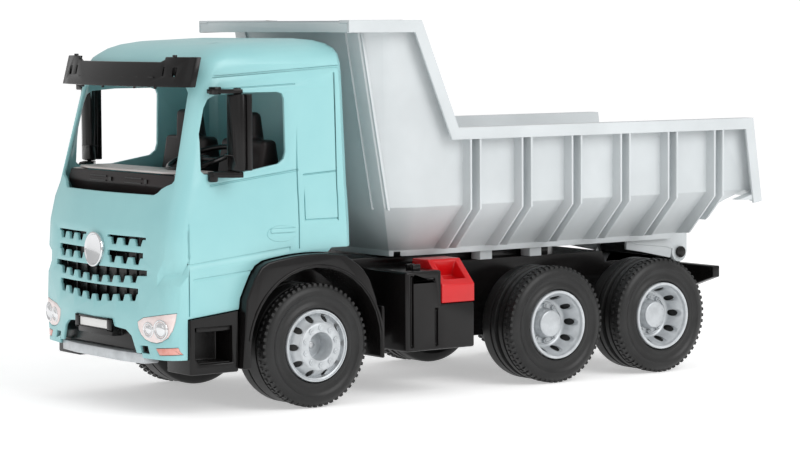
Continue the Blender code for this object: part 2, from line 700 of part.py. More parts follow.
def lamp_outline(grow):
    """(x, z) outline of a headlight, a drop with its tip high on the outside."""
    return [(62 - grow, 74.5 + grow / 2), (62.8 - grow, 69.5), (65.5 - grow, 65 - grow), (70.5, 61.3 - grow),
            (77, 59.5 - grow), (84, 59.2 - grow), (90 + grow / 2, 60.7 - grow), (95 + grow, 64 - grow),
            (98 + grow, 69.5), (99.5 + grow, 77), (100 + grow, 83 + grow), (69, 78 + grow)]


def fog_outline(grow):
    """(x, z) outline of a fog light."""
    return [(83 - grow, 54.8 + grow), (87 - grow, 49.8 - grow), (101.3 + grow, 50.8 - grow),
            (100 + grow, 56 + grow)]


def duct_outline():
    """(x, z) outline of the small square duct beside a fog light."""
    return [(63.5, 55.8), (65.5, 50), (75, 50), (73, 56)]


def intake_outline():
    """(x, z) outline of the opening low in the nose."""
    return mirror_outline([(28, 74), (31, 68.3), (46, 67), (53, 62.5), (59, 49)])


def grille_slots():
    """(x, z) outlines of the grille's toothed slots; the upper two stop short of the badge."""
    wide = [GRILLE_TOOTH_PITCH * (i + 0.5) for i in range(4)]
    rows = [
        ((17, 140.8), (69, 140.8), 1.8, (27, 43.5, 60)),
        ((18, 128.6), (66.5, 128.6), 4.2, (25.5, 42, 58)),
    ]
    slots = [toothed_slot(*row) for row in rows]
    slots += [[(-x, z) for x, z in reversed(slot)] for slot in slots]
    for middle, end, reach in ((111.6, 115.2, 72), (96.2, 100.4, 62)):
        right = toothed_slot((0, middle), (reach, end), 4.2, wide)
        left = [(-x, z) for x, z in reversed(right)]
        slots.append(right[:-1] + left[1:])
    return slots


def toothed_slot(start, end, thick, teeth):
    """A slot from start to end along its top edge, with tapered teeth hanging from its bottom edge."""
    def edge(x):
        share = (x - start[0]) / (end[0] - start[0])
        return start[1] + (end[1] - start[1]) * share - thick
    bottom = [(start[0], edge(start[0]))]
    for x in teeth:
        for away, drop in ((-5.3, 0.0), (-3.2, GRILLE_TOOTH), (3.2, GRILLE_TOOTH), (5.3, 0.0)):
            bottom.append((x + away, edge(x + away) - drop))
    return bottom + [(end[0], edge(end[0])), end, start]


def build_cab():
    reach = CAB_HALF_WIDTH + 20
    front, back = FRONT - 20, FRONT + 90
    shape = skin()
    lamp_back = CAB_STEP_Y - 3.0
    lamps = common(skin(), prism("Y", lamp_outline(0.0), front, lamp_back))
    fogs = common(skin(), prism("Y", fog_outline(0.0), front, lamp_back))
    below = (
        [(CAB_STEP_Y, 0), (CAB_STEP_Y, CAB_SILL_Z), (FENDER_FRONT_Y + 2, CAB_SILL_Z + 5)]
        + [(y, z) for y, z in fender_crown(0.8) if y < FENDER_REAR_Y - 48]
        + [(FENDER_REAR_Y - 45, CAB_REAR_SILL_Z), (CAB_REAR_Y + 20, CAB_REAR_SILL_Z), (CAB_REAR_Y + 20, 0)]
    )
    cut(shape, prism("X", below, -reach, reach))
    cut(shape, prism("X", side_window(), -reach, -CAB_HALF_WIDTH + 20),
        prism("X", side_window(), CAB_HALF_WIDTH - 20, reach))
    cut(shape, prism("Y", screen_outline(), front, back))
    for outline in grille_slots():
        cut(shape, prism("Y", outline, front, FRONT + 20))
    cut(shape, prism("Y", intake_outline(), front, FRONT + 20))
    cut(shape, box((-66, 66), (front, CAB_STEP_Y + 1), (CAB_NOSE_BOTTOM - 5, CAB_NOSE_BOTTOM + 3.5)))
    for outline in (lamp_outline(GAP), fog_outline(GAP), duct_outline()):
        opposite = [(-x, z) for x, z in reversed(outline)]
        cut(shape, prism("Y", outline, front, lamp_back + GAP),
            prism("Y", opposite, front, lamp_back + GAP))
    piece("cab_shell", shape, "cab_blue")
    both_sides("headlight", lamps, "lamp_clear")
    both_sides("fog_light", fogs, "fog_amber")


def build_nose_trim():
    """The black grille and intake backs, the badge, the number plate and the skid plate."""
    back = FRONT + 14.0
    screen = box((-76, 76), (back, back + 3), (82, 148))
    piece("grille_insert", screen, "black_plastic")
    intake = box((-66, 66), (back - 3, back), (50.5, 80))
    join(intake, box((-27, 27), (FRONT + 1.5, back - 2), (60, 73.4)))
    piece("intake_insert", intake, "black_plastic")
    lean = 2.4 / 47.0  # how far the nose leans back over the badge
    ring = circle(14.4, 20, (0.0, 128.0))
    badge = loft([[(x, FRONT + y + (z - 113.6) * lean, z) for x, z in ring] for y in (0.1, 1.25)])
    piece("grille_badge", badge, "rim_silver")
    plate = box((-21.5, 21.5), (FRONT + 0.2, FRONT + 1.2), (65.6, 72.4))
    piece("number_plate", plate, "plate_white")
    skid = prism("Z", mirror_outline([(65, FRONT + 22), (65, FRONT + 8), (34, FRONT + 4)]),
                 CAB_NOSE_BOTTOM - 5, CAB_NOSE_BOTTOM + 3.1)
    piece("skid_plate", skid, "rim_silver")


def build_interior():
    """Floor, dashboard and seats inside the cab."""
    half = CAB_HALF_WIDTH - CAB_WALL - 2.0
    floor = box((-half + 4, half - 4), (FRONT + 28, CAB_REAR_Y - 10), (CAB_FLOOR_Z, CAB_FLOOR_Z + 3))
    tunnel = box((-40, 40), (FRONT_AXLE_Y - 40, FRONT_AXLE_Y + 20), (CHASSIS_TOP + GAP, CAB_FLOOR_Z + 1))
    join(floor, tunnel)
    dash = prism("X", [(FRONT + 29, CAB_FLOOR_Z + 1), (FRONT + 29, 172), (FRONT + 26, 180), (FRONT + 28, 189),
                       (FRONT + 48, 187), (FRONT + 54, 178), (FRONT + 45, 160), (FRONT + 33, 150),
                       (FRONT + 33, CAB_FLOOR_Z + 1)], -84, 84)
    join(floor, dash)
    piece("cab_interior", floor, "black_plastic")
    seat_y = FRONT + 112
    base = CAB_FLOOR_Z + 3 + GAP
    profile = [
        (seat_y - 58, base), (seat_y - 62, base + 26), (seat_y - 8, base + 24), (seat_y + 2, base + 78),
        (seat_y + 3, base + 106), (seat_y + 13, base + 106), (seat_y + 20, base + 60), (seat_y + 12, base),
    ]
    for name, x in (("driver_seat", SEAT_X), ("passenger_seat", -SEAT_X)):
        seat = prism("X", profile, x - SEAT_HALF, x + SEAT_HALF)
        for side in (-1, 1):
            a, b = sorted((x + side * 15, x + side * (SEAT_HALF + 5)))
            cut(seat, box((a, b), (seat_y - 10, seat_y + 40), (base + 84, base + 120)))
        piece(name, seat, "seat_grey")
    build_steering_wheel()


def build_steering_wheel():
    """A ring on a column that rises from the dashboard."""
    x, y, z, radius, thick = SEAT_X, FRONT + 76.0, 200.0, 27.0, 2.4
    tilt = math.radians(18)
    bm = bmesh.new()
    rings = []
    for i in range(24):
        angle = 2 * math.pi * i / 24
        ring = []
        for k in range(6):
            turn = 2 * math.pi * k / 6
            reach = radius + thick * math.cos(turn)
            a, b, c = reach * math.cos(angle), reach * math.sin(angle), thick * math.sin(turn)
            ring.append(bm.verts.new((x + a, y + b * math.cos(tilt) - c * math.sin(tilt),
                                      z + b * math.sin(tilt) + c * math.cos(tilt))))
        rings.append(ring)
    for i in range(24):
        after = rings[(i + 1) % 24]
        for k in range(6):
            m = (k + 1) % 6
            bm.faces.new((rings[i][k], rings[i][m], after[m], after[k]))
    wheel = solid(bm)
    spoke = box((x - radius, x + radius), (y - 3, y + 3), (z - 1.6, z + 1.6))
    join(wheel, spoke)
    piece("steering_wheel", wheel, "black_plastic")


def build_visor():
    """A curved black sun visor standing off the top of the windscreen."""
    def band(z, shift, half):
        outer = [(45, FRONT + 19.5), (80, FRONT + 25), (half - 5.5, FRONT + 28.5), (half - 1.5, FRONT + 31.5),
                 (half, FRONT + 36)]
        inner = [(half - 3, FRONT + 36), (half - 4.5, FRONT + 33.6), (half - 7, FRONT + 31.5),
                 (79, FRONT + 28), (45, FRONT + 22.5)]
        right_half = [(0, FRONT + 17)] + outer + inner + [(0, FRONT + 20)]
        left_half = [(-x, y) for x, y in reversed(outer + inner)]
        return [(x, y + shift, z) for x, y in right_half + left_half]
    half = CAB_HALF_WIDTH - 1.4
    shape = loft([band(VISOR_BOTTOM, 0.0, half), band(VISOR_TOP + VISOR_END_RISE, 6.0, half - 0.4)])
    middle = mirror_outline([(VISOR_END_X, VISOR_TOP + 20), (VISOR_END_X, VISOR_TOP + 2),
                             (VISOR_END_X - 5, VISOR_TOP)])
    piece("sun_visor", cut(shape, prism("Y", middle, FRONT, FRONT + 60)), "black_plastic")


def build_fenders():
    outline = fender_outline(0.0)
    shape = prism("X", outline, FENDER_INNER_X, FENDER_OUTER_X)
    arch = ([(FRONT_AXLE_Y + ARCH_RADIUS, 0)] + arc((FRONT_AXLE_Y, AXLE_Z), ARCH_RADIUS, 0, 180, 16)
            + [(FRONT_AXLE_Y - ARCH_RADIUS, 0)])
    cut(shape, prism("X", arch, FENDER_INNER_X - 5, FENDER_OUTER_X + 5))
    both_sides("fender", shape, "black_plastic")


def build_side_steps():
    front, rear = CAB_STEP_Y + GAP, FENDER_FRONT_Y - GAP
    outline = [(front, 34), (rear, 34), (rear, CAB_SILL_Z + 4.2), (front, CAB_SILL_Z - 0.6)]
    shape = prism("X", outline, 70, CAB_HALF_WIDTH + 2)
    room = [(front + 5, 47), (front + 9, 42), (rear - 5, 42), (rear - 5, 71), (front + 5, 71)]
    cut(shape, prism("X", room, 80, CAB_HALF_WIDTH + 10))
    both_sides("side_step", shape, "black_plastic")


def build_side_boxes():
    inner = CHASSIS_HALF + GAP
    shape = prism("X", [(BOX_FRONT_Y, BOX_BOTTOM), (BOX_REAR_Y, BOX_BOTTOM), (BOX_REAR_Y, BOX_LEDGE_Z),
                        (BOX_SPLIT_Y, BOX_LEDGE_Z), (BOX_SPLIT_Y, BOX_FRONT_TOP),
                        (BOX_FRONT_Y, BOX_FRONT_TOP)], inner, BOX_OUTER_X)
    both_sides("side_box", shape, "black_plastic")
    base = BOX_LEDGE_Z + GAP
    top = BOX_LEDGE_Z + CHOCK_HEIGHT
    chock = prism("Y", [(70, base), (BOX_OUTER_X, base), (BOX_OUTER_X, base + 15), (92, top), (70, top)],
                  BOX_SPLIT_Y + GAP, BOX_REAR_Y)
    cut(chock, prism("Y", [(88, base + 20), (101, base + 14), (120, base + 30), (100, base + 50)],
                     BOX_SPLIT_Y + 6, BOX_REAR_Y - 6))
    both_sides("wheel_chock", chock, "chock_red")


def build_mirrors():
    """A mirror head on a pin between two arms, on each side of the cab."""
    x, y = MIRROR_PIN_X, MIRROR_PIN_Y
    head = prism("Z", [(x - MIRROR_HALF_WIDTH + 1, y - 6), (x + MIRROR_HALF_WIDTH - 2, y - 2),
                       (x + MIRROR_HALF_WIDTH, y + 1), (x + MIRROR_HALF_WIDTH - 1, y + 7.5),
                       (x - MIRROR_HALF_WIDTH + 2, y + 7.5), (x - MIRROR_HALF_WIDTH, y - 3)],
                 MIRROR_BOTTOM, MIRROR_TOP)
    cut(head, rod("Z", (x, y), MIRROR_PIN_RADIUS + 2 * GAP, MIRROR_BOTTOM - 5, MIRROR_TOP + 5, 8))
    arm = rod("Z", (x, y), MIRROR_PIN_RADIUS, MIRROR_BOTTOM - 4.0, MIRROR_TOP + 3.0, 8)
    for low, high, root in ((MIRROR_TOP + 0.5, MIRROR_TOP + 4.0, CAB_HALF_WIDTH - 4.2),
                            (MIRROR_BOTTOM - 5.0, MIRROR_BOTTOM - 0.5, CAB_HALF_WIDTH - 1.6)):
        join(arm, prism("Z", [(root, y - 24), (x + 2, y - 3.5), (x + 4, y + 3), (x - 5, y + 3.5),
                              (root, y - 12)], low, high))
    both_sides("mirror_arm", arm, "black_plastic")
    both_sides("mirror_head", head, "black_plastic", (x, y, (MIRROR_BOTTOM + MIRROR_TOP) / 2))


def main():
    for left_over in list(bpy.data.objects):
        bpy.data.objects.remove(left_over)
    build_wheels()
    build_chassis()
    build_rear_bumper()
    build_pivot_pin()
    build_bed()
    build_cab()
    build_nose_trim()
    build_interior()
    build_visor()
    build_fenders()
    build_side_steps()
    build_side_boxes()
    build_mirrors()


main()
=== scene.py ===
import json
import math

import bpy
from mathutils import Matrix, Quaternion, Vector
from mathutils.bvhtree import BVHTree

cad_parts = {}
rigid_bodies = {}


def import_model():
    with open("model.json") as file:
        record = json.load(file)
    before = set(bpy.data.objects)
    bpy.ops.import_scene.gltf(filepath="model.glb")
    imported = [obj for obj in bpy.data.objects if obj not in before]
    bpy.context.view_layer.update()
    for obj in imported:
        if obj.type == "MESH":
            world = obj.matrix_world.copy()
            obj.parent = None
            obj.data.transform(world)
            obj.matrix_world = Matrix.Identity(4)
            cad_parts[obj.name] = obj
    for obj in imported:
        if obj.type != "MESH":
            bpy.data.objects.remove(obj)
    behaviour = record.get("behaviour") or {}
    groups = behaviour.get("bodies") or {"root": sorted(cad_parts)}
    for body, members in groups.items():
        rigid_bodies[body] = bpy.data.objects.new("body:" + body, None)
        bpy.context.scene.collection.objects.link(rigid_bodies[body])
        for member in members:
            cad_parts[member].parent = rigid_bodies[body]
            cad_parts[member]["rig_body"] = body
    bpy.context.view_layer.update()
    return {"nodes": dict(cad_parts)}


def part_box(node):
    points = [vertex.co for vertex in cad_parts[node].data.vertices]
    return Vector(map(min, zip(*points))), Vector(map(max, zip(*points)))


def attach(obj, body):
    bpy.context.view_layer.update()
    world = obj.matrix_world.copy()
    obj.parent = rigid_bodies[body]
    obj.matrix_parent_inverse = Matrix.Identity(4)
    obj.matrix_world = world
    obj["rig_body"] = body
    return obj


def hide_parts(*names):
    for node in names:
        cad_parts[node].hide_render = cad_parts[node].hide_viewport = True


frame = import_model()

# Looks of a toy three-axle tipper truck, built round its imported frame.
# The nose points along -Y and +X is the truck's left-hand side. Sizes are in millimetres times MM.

MM = 0.001
NODES = frame["nodes"]


def reach(node):
    """Lowest and highest corner of a CAD node, in millimetres."""
    low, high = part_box(node)
    return low / MM, high / MM


def centre_of(node):
    """The middle of a CAD node's box, in millimetres."""
    low, high = reach(node)
    return (low + high) / 2


CAB_LOW, CAB_HIGH = reach("cab_shell")
BED_LOW, BED_HIGH = reach("tipper_body")
NOSE = CAB_LOW.y  # foremost point of the truck
SIDE = CAB_HIGH.x  # the cab's side panels
CAB_BACK = CAB_HIGH.y
RAIL = BED_HIGH.x  # outer face of the bed's rail
DECK = BED_LOW.z + 22.0  # underside of the bed's skirt, above its hinge ears
TAIL = BED_HIGH.y
FRAME_SIDE = reach("chassis_frame")[1].x  # outer face of the chassis
SIDES = (-1, 1)
SMOOTH_BELOW = 38.0  # degrees: edges that turn less than this are shaded smooth
ROOF_FALL = 7.0  # how far the roof drops towards the windscreen


# ---------------------------------------------------------------- materials


def linear(colour):
    """A linear RGBA colour from an sRGB hex value."""
    channels = [int(colour[i:i + 2], 16) / 255 for i in (1, 3, 5)]
    return [c / 12.92 if c <= 0.04045 else ((c + 0.055) / 1.055) ** 2.4 for c in channels] + [1.0]


def add(tree, kind, inputs, **settings):
    """One node with its settings, and with values or links given to its inputs."""
    made = tree.nodes.new(kind)
    for name, value in settings.items():
        setattr(made, name, value)
    for name, value in inputs.items():
        if isinstance(value, bpy.types.NodeSocket):
            tree.links.new(value, made.inputs[name])
        else:
            made.inputs[name].default_value = value
    return made


def moulded(name, dark, light, rough, grain_mm, depth_mm, patch_mm=60.0, **fixed):
    """A moulded or sprayed surface: slow patches between two near colours, and a fine bumpy grain."""
    material = bpy.data.materials.new(name)
    material.use_nodes = True
    tree = material.node_tree
    shader = tree.nodes["Principled BSDF"]
    place = add(tree, "ShaderNodeTexCoord", {}).outputs["Object"]
    patches = add(tree, "ShaderNodeTexNoise",
                  {"Vector": place, "Scale": 1000 / patch_mm, "Detail": 3.0, "Roughness": 0.55})
    grain = add(tree, "ShaderNodeTexNoise",
                {"Vector": place, "Scale": 1000 / grain_mm, "Detail": 2.0, "Roughness": 0.5})
    blend = add(tree, "ShaderNodeMapRange",
                {"Value": patches.outputs["Fac"], "From Min": 0.35, "From Max": 0.65})
    mixer = add(tree, "ShaderNodeMixRGB",
                {"Fac": blend.outputs["Result"], "Color1": linear(dark), "Color2": linear(light)})
    gloss = add(tree, "ShaderNodeMapRange",
                {"Value": grain.outputs["Fac"], "To Min": rough[0], "To Max": rough[1]})
    bump = add(tree, "ShaderNodeBump",
               {"Height": grain.outputs["Fac"], "Strength": 1.0, "Distance": depth_mm * MM})
    tree.links.new(mixer.outputs["Color"], shader.inputs["Base Color"])
    tree.links.new(gloss.outputs["Result"], shader.inputs["Roughness"])
    tree.links.new(bump.outputs["Normal"], shader.inputs["Normal"])
    for socket, value in fixed.items():
        shader.inputs[socket.replace("_", " ")].default_value = value
    return material


FINISH = {
    # ABS, moulded in turquoise: an even, satin colour with a faint orange peel that softens highlights
    "cab_blue": moulded("turquoise moulded ABS", "#90C5C8", "#96CACC", (0.28, 0.36), 2.6, 0.010, IOR=1.53),
    # ABS, moulded in light grey: a touch cooler and flatter, thin walls that never look quite even
    "bed_grey": moulded("light grey moulded ABS", "#C3C8CA", "#CBD0D2", (0.34, 0.44), 3.0, 0.012, IOR=1.53),
    # polypropylene, moulded in black: glossy enough to show pale reflections on every rounded edge
    "black_plastic": moulded("black moulded polypropylene", "#0D0C0C", "#141212", (0.17, 0.27), 2.0, 0.010,
                             IOR=1.49, Specular_IOR_Level=0.3),
    # ABS with a spark-eroded texture, as on seats and trim: black and fairly dull
    "seat_grey": moulded("black textured ABS", "#1A1212", "#221818", (0.38, 0.50), 1.4, 0.02,
                         IOR=1.53, Specular_IOR_Level=0.35),
    # soft PVC, moulded in dark grey: dull, with cloudy bloom from the mould
    "tyre_black": moulded("dark grey soft PVC", "#1E1E1E", "#272727", (0.34, 0.46), 1.8, 0.02, 26.0,
                          IOR=1.53, Specular_IOR_Level=0.3),
    # ABS sprayed with aluminium lacquer: fine flake breaks up a soft metallic sheen
    "rim_silver": moulded("silver lacquered ABS", "#B6BABD", "#C8CCCF", (0.26, 0.42), 1.1, 0.012, 9.0,
                          Metallic=0.35),
    # zinc-plated steel wire and pressings: bright, slightly streaked metal
    "steel": moulded("zinc plated steel", "#A9ABAD", "#C2C4C6", (0.22, 0.36), 1.2, 0.006, 12.0,
                     Metallic=1.0),
    # polycarbonate over a pale reflector, tinted by its moulding: clear gloss on a milky pink ground
    "lamp_clear": moulded("clear moulded polycarbonate", "#E3CFCB", "#EFE2E0", (0.08, 0.14), 3.0, 0.008,
                          14.0, IOR=1.58, Coat_Weight=0.6, Coat_Roughness=0.05),
    # acrylic, tinted salmon: glossy with a shallow lens pattern
    "fog_amber": moulded("salmon tinted acrylic", "#D98D80", "#E5A79C", (0.14, 0.22), 1.6, 0.03, 8.0,
                         IOR=1.49, Coat_Weight=0.4),
    # printed PVC card: white, plain and slightly glossy
    "plate_white": moulded("white PVC card", "#E4E4E2", "#EEEEEC", (0.30, 0.40), 2.0, 0.006, IOR=1.53),
    # ABS, moulded in signal red: high gloss
    "chock_red": moulded("red moulded ABS", "#BE0A10", "#CA0F14", (0.20, 0.28), 3.0, 0.010, IOR=1.53),
}
# ABS, moulded in pale warm grey, as the top of the dashboard; on the two posts at its ends the same pale
# grey is a painted highlight on the dashboard's rounded front corners
DASH_GREY_AND_HIGHLIGHT = moulded("pale grey ABS and painted highlight", "#BEB8B5", "#CCC6C3", (0.40, 0.50), 2.0, 0.01, IOR=1.53)
# chrome vacuum-plated onto ABS: a bright mirror with soft edges
CHROME = moulded("vacuum plated chrome", "#D9DADC", "#E6E7E8", (0.08, 0.14), 3.0, 0.004, Metallic=1.0)


# ---------------------------------------------------------------- modelling tools


def pick(*pieces):
    """Select these pieces and nothing else; the first one is active."""
    bpy.ops.object.select_all(action="DESELECT")
    for piece in pieces:
        piece.select_set(True)
    bpy.context.view_layer.objects.active = pieces[0]


def block(low, high):
    """A block between two corners."""
    bpy.ops.object.select_all(action="DESELECT")
    centre = [(a + b) / 2 * MM for a, b in zip(low, high)]
    size = [(b - a) * MM for a, b in zip(low, high)]
    bpy.ops.mesh.primitive_cube_add(size=1, location=centre, scale=size)
    bpy.ops.object.transform_apply(location=True, rotation=True, scale=True)
    return bpy.context.object


def outlined(axis, outline, low, high, shift=(0.0, 0.0, 0.0)):
    """A filled outline in the plane across an axis, extruded from low to high and shifted on the way."""
    bpy.ops.object.select_all(action="DESELECT")
    bpy.ops.mesh.primitive_circle_add(vertices=len(outline), radius=1, fill_type="NGON")
    piece = bpy.context.object
    index = "XYZ".index(axis)
    for vertex, point in zip(piece.data.vertices, outline):
        place = list(point)
        place.insert(index, low)
        vertex.co = Vector(place) * MM
    step = list(shift)
    step[index] += high - low
    bpy.ops.object.mode_set(mode="EDIT")
    bpy.ops.mesh.select_all(action="SELECT")
    bpy.ops.mesh.extrude_region_move(TRANSFORM_OT_translate={"value": Vector(step) * MM})
    bpy.ops.mesh.select_all(action="SELECT")
    bpy.ops.mesh.normals_make_consistent(inside=False)
    bpy.ops.object.mode_set(mode="OBJECT")
    return piece


def turned(profile, steps=88):
    """A closed profile of (x, radius) points spun about the X axis."""
    bpy.ops.object.select_all(action="DESELECT")
    bpy.ops.mesh.primitive_circle_add(vertices=len(profile), radius=1, fill_type="NOTHING")
    piece = bpy.context.object
    for vertex, (x, radius) in zip(piece.data.vertices, profile):
        vertex.co = Vector((x, 0, radius)) * MM
    bpy.ops.object.mode_set(mode="EDIT")
    bpy.ops.mesh.select_all(action="SELECT")
    bpy.ops.mesh.spin(steps=steps, angle=2 * math.pi, center=(0, 0, 0), axis=(1, 0, 0))
    bpy.ops.mesh.select_all(action="SELECT")
    bpy.ops.mesh.remove_doubles(threshold=0.01 * MM)
    bpy.ops.mesh.normals_make_consistent(inside=False)
    bpy.ops.object.mode_set(mode="OBJECT")
    return piece


def rod(axis, centre, radius, low, high, sides=24):
    """A round bar along an axis."""
    turn = {"X": (0, math.pi / 2, 0), "Y": (math.pi / 2, 0, 0), "Z": (0, 0, 0)}[axis]
    place = list(centre)
    place.insert("XYZ".index(axis), (low + high) / 2)
    bpy.ops.object.select_all(action="DESELECT")
    bpy.ops.mesh.primitive_cylinder_add(vertices=sides, radius=radius * MM, depth=(high - low) * MM,
                                        location=Vector(place) * MM, rotation=turn)
    bpy.ops.object.transform_apply(location=True, rotation=True, scale=True)
    return bpy.context.object


def copy_of(piece, move=None):
    """A separate copy with its own mesh, moved by a matrix."""
    made = bpy.data.objects.new(piece.name, piece.data.copy())
    bpy.context.scene.collection.objects.link(made)
    if move is not None:
        made.data.transform(move)
    return made


def moved(piece, x, y, z):
    """The piece itself, shifted by this many millimetres."""
    piece.data.transform(Matrix.Translation(Vector((x, y, z)) * MM))
    return piece


def joined(*pieces):
    """Several pieces made one object."""
    pick(*pieces)
    if len(pieces) > 1:
        bpy.ops.object.join()
    return pieces[0]


def round_centre(piece, count, start=0.0):
    """Copies of a piece set evenly round the X axis, joined."""
    ring = []
    for i in range(count):
        ring.append(copy_of(piece, Matrix.Rotation(2 * math.pi * (i + start) / count, 4, "X")))
    bpy.data.objects.remove(piece)
    return joined(*ring)


def cut(piece, tools):
    """A piece with tools cut out of it, one after another."""
    for tool in tools:
        step = piece.modifiers.new("step", "BOOLEAN")
        step.operation = "DIFFERENCE"
        step.object = tool
        pick(piece)
        bpy.ops.object.modifier_apply(modifier=step.name)
        bpy.data.objects.remove(tool)
    return piece


def clean(piece, angle=0.6, flat=True):
    """Merge the points that meet and, if asked, dissolve the lines across flat faces."""
    pick(piece)
    bpy.ops.object.mode_set(mode="EDIT")
    bpy.ops.mesh.select_all(action="SELECT")
    bpy.ops.mesh.remove_doubles(threshold=0.02 * MM)
    if flat:
        bpy.ops.mesh.dissolve_limited(angle_limit=math.radians(angle))
    bpy.ops.object.mode_set(mode="OBJECT")
    return piece


def soften(piece, width, segments=2, angle=28.0):
    """Round the edges that are sharper than an angle, then shade the rest smooth."""
    pick(piece)
    edge = piece.modifiers.new("edge", "BEVEL")
    edge.width = width * MM
    edge.segments = segments
    edge.limit_method = "ANGLE"
    edge.angle_limit = math.radians(angle)
    edge.use_clamp_overlap = False
    bpy.ops.object.modifier_apply(modifier=edge.name)
    bpy.ops.object.shade_smooth_by_angle(angle=math.radians(SMOOTH_BELOW))
    return piece


def eased_block(low, high, width, segments=2):
    """A block with rounded edges."""
    return soften(block(low, high), width, segments)


def eased_rod(axis, centre, radius, low, high, width, segments=2, sides=24):
    """A round bar with rounded ends."""
    return soften(rod(axis, centre, radius, low, high, sides), width, segments)


def cad_copy(node, flat=True):
    """A merged copy of a CAD node's mesh, to be finished and shown in its place."""
    made = copy_of(NODES[node])
    pick(made)
    bpy.ops.mesh.customdata_custom_splitnormals_clear()
    return clean(made, flat=flat)


def smooth(piece, angle=SMOOTH_BELOW):
    """Shade smooth across the edges that turn less than an angle."""
    pick(piece)
    bpy.ops.object.shade_smooth_by_angle(angle=math.radians(angle))
    return piece


def mirrored(piece):
    """The same piece on the truck's other side."""
    made = copy_of(piece, Matrix.Scale(-1, 4, (1, 0, 0)))
    pick(made)
    bpy.ops.object.mode_set(mode="EDIT")
    bpy.ops.mesh.select_all(action="SELECT")
    bpy.ops.mesh.flip_normals()
    bpy.ops.object.mode_set(mode="OBJECT")
    return made


def show(piece, name, slot, body, nodes=(), material=None):
    """Name a finished piece, give it its material and set it on its body in place of CAD nodes."""
    piece.name = name
    piece.data.name = name
    piece.data.materials.clear()
    piece.data.materials.append(material or FINISH[slot])
    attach(piece, body)
    if nodes:
        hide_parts(*nodes)


def show_pair(piece, name, slot, body="root", node=None, material=None):
    """Show a left-hand piece and its mirror image."""
    other = mirrored(piece)
    for side, made in (("left", piece), ("right", other)):
        rides_on = body if body == "root" else body + "_" + side
        show(made, name + "_" + side, slot, rides_on, [node + "_" + side] if node else (), material)


def surface_y(node, x, z):
    """Where a CAD node's front face lies behind a point, and its normal there, looking back along +Y."""
    mesh = NODES[node].data
    tree = BVHTree.FromPolygons([v.co for v in mesh.vertices], [p.vertices for p in mesh.polygons])
    place, normal = tree.ray_cast(Vector((x, NOSE - 50, z)) * MM, Vector((0, 1, 0)))[:2]
    return place.y / MM, normal


# ---------------------------------------------------------------- wheels

LUGS = 58  # tread blocks in each row round a tyre
HOLES = 10  # holes, and nuts, round a rim
LUG_RISE = 0.9  # how far the tread blocks stand above the tread
BEAD_RADIUS = 29.75  # where a tyre meets its rim
LIP_STANDS_OUT = 0.5  # how far a rim's lip stands out of its tyre
FRONT_NUTS = 15.3  # radius of the ring of nuts
REAR_NUTS = 15.4


def tread_block(outer, radius, start):
    """A ring of tapered tread blocks inside an edge."""
    low, high = outer - 6.2, outer - 2.0
    half, below, above = 1.7, 1.4, 1.5
    lug = block((low, -half, -below), (high, half, above))
    bpy.ops.object.mode_set(mode="EDIT")
    bpy.ops.mesh.select_all(action="DESELECT")
    bpy.ops.object.mode_set(mode="OBJECT")
    for face in lug.data.polygons:
        face.select = face.normal.z > 0.9
    bpy.ops.object.mode_set(mode="EDIT")
    middle = Vector(((low + high) / 2 * MM, 0, 0))
    bpy.ops.transform.resize(value=(0.72, 0.72, 1.0), center_override=middle)
    bpy.ops.object.mode_set(mode="OBJECT")
    return round_centre(moved(lug, 0, 0, radius - above), LUGS, start)


def tyre(low, high, twin):
    """A moulded tyre: bead ring, raised band and soft shoulder on each side, two rows of tread blocks."""
    radius = (high.z - low.z) / 2
    base = radius - LUG_RISE
    bead = BEAD_RADIUS
    wall = [(2.0, bead), (0.7, bead + 0.9), (0.3, bead + 2.2), (0.5, bead + 3.6), (1.7, bead + 5.2),
            (1.9, bead + 8.0), (1.1, bead + 10.2), (0.0, bead + 11.6), (0.0, bead + 13.6),
            (0.5, bead + 15.4), (1.5, bead + 17.2), (3.0, base - 0.5), (5.2, base)]

    def groove(share, top, bottom, depth):
        x = high.x - share * (high.x - low.x)
        return [(x + top, base), (x + bottom, base - depth), (x - bottom, base - depth), (x - top, base)]
    tread = groove(0.32, 1.2, 0.8, 2.6)
    if twin:
        tread += groove(0.5, 2.8, 1.0, 7.5)
    tread += groove(0.68, 1.2, 0.8, 2.6)
    outside = [(high.x - depth, r) for depth, r in wall]
    inside = [(low.x + depth, r) for depth, r in reversed(wall)]
    body = smooth(turned(outside + tread + inside, 96))
    return joined(body, tread_block(high.x, radius, 0.0), tread_block(high.x - 6.4, radius, 0.5))


def shade_sleeve(profile):
    """A dark ring close behind the holes of the rim, in the tyre's dark grey: painted shade for the hollow
    wheel seen through them.
    """
    return smooth(turned(profile, 64))


def oval_holes(piece, ring, radial, around, low, high):
    """Oval holes through a rim, of these half widths, with their centres on a ring."""
    cutter = rod("X", (0, 0), 1.0, low, high, 20)
    cutter.data.transform(Matrix.Diagonal((1, around, radial, 1)))
    return cut(piece, [round_centre(moved(cutter, 0, 0, ring), HOLES, 0.5)])


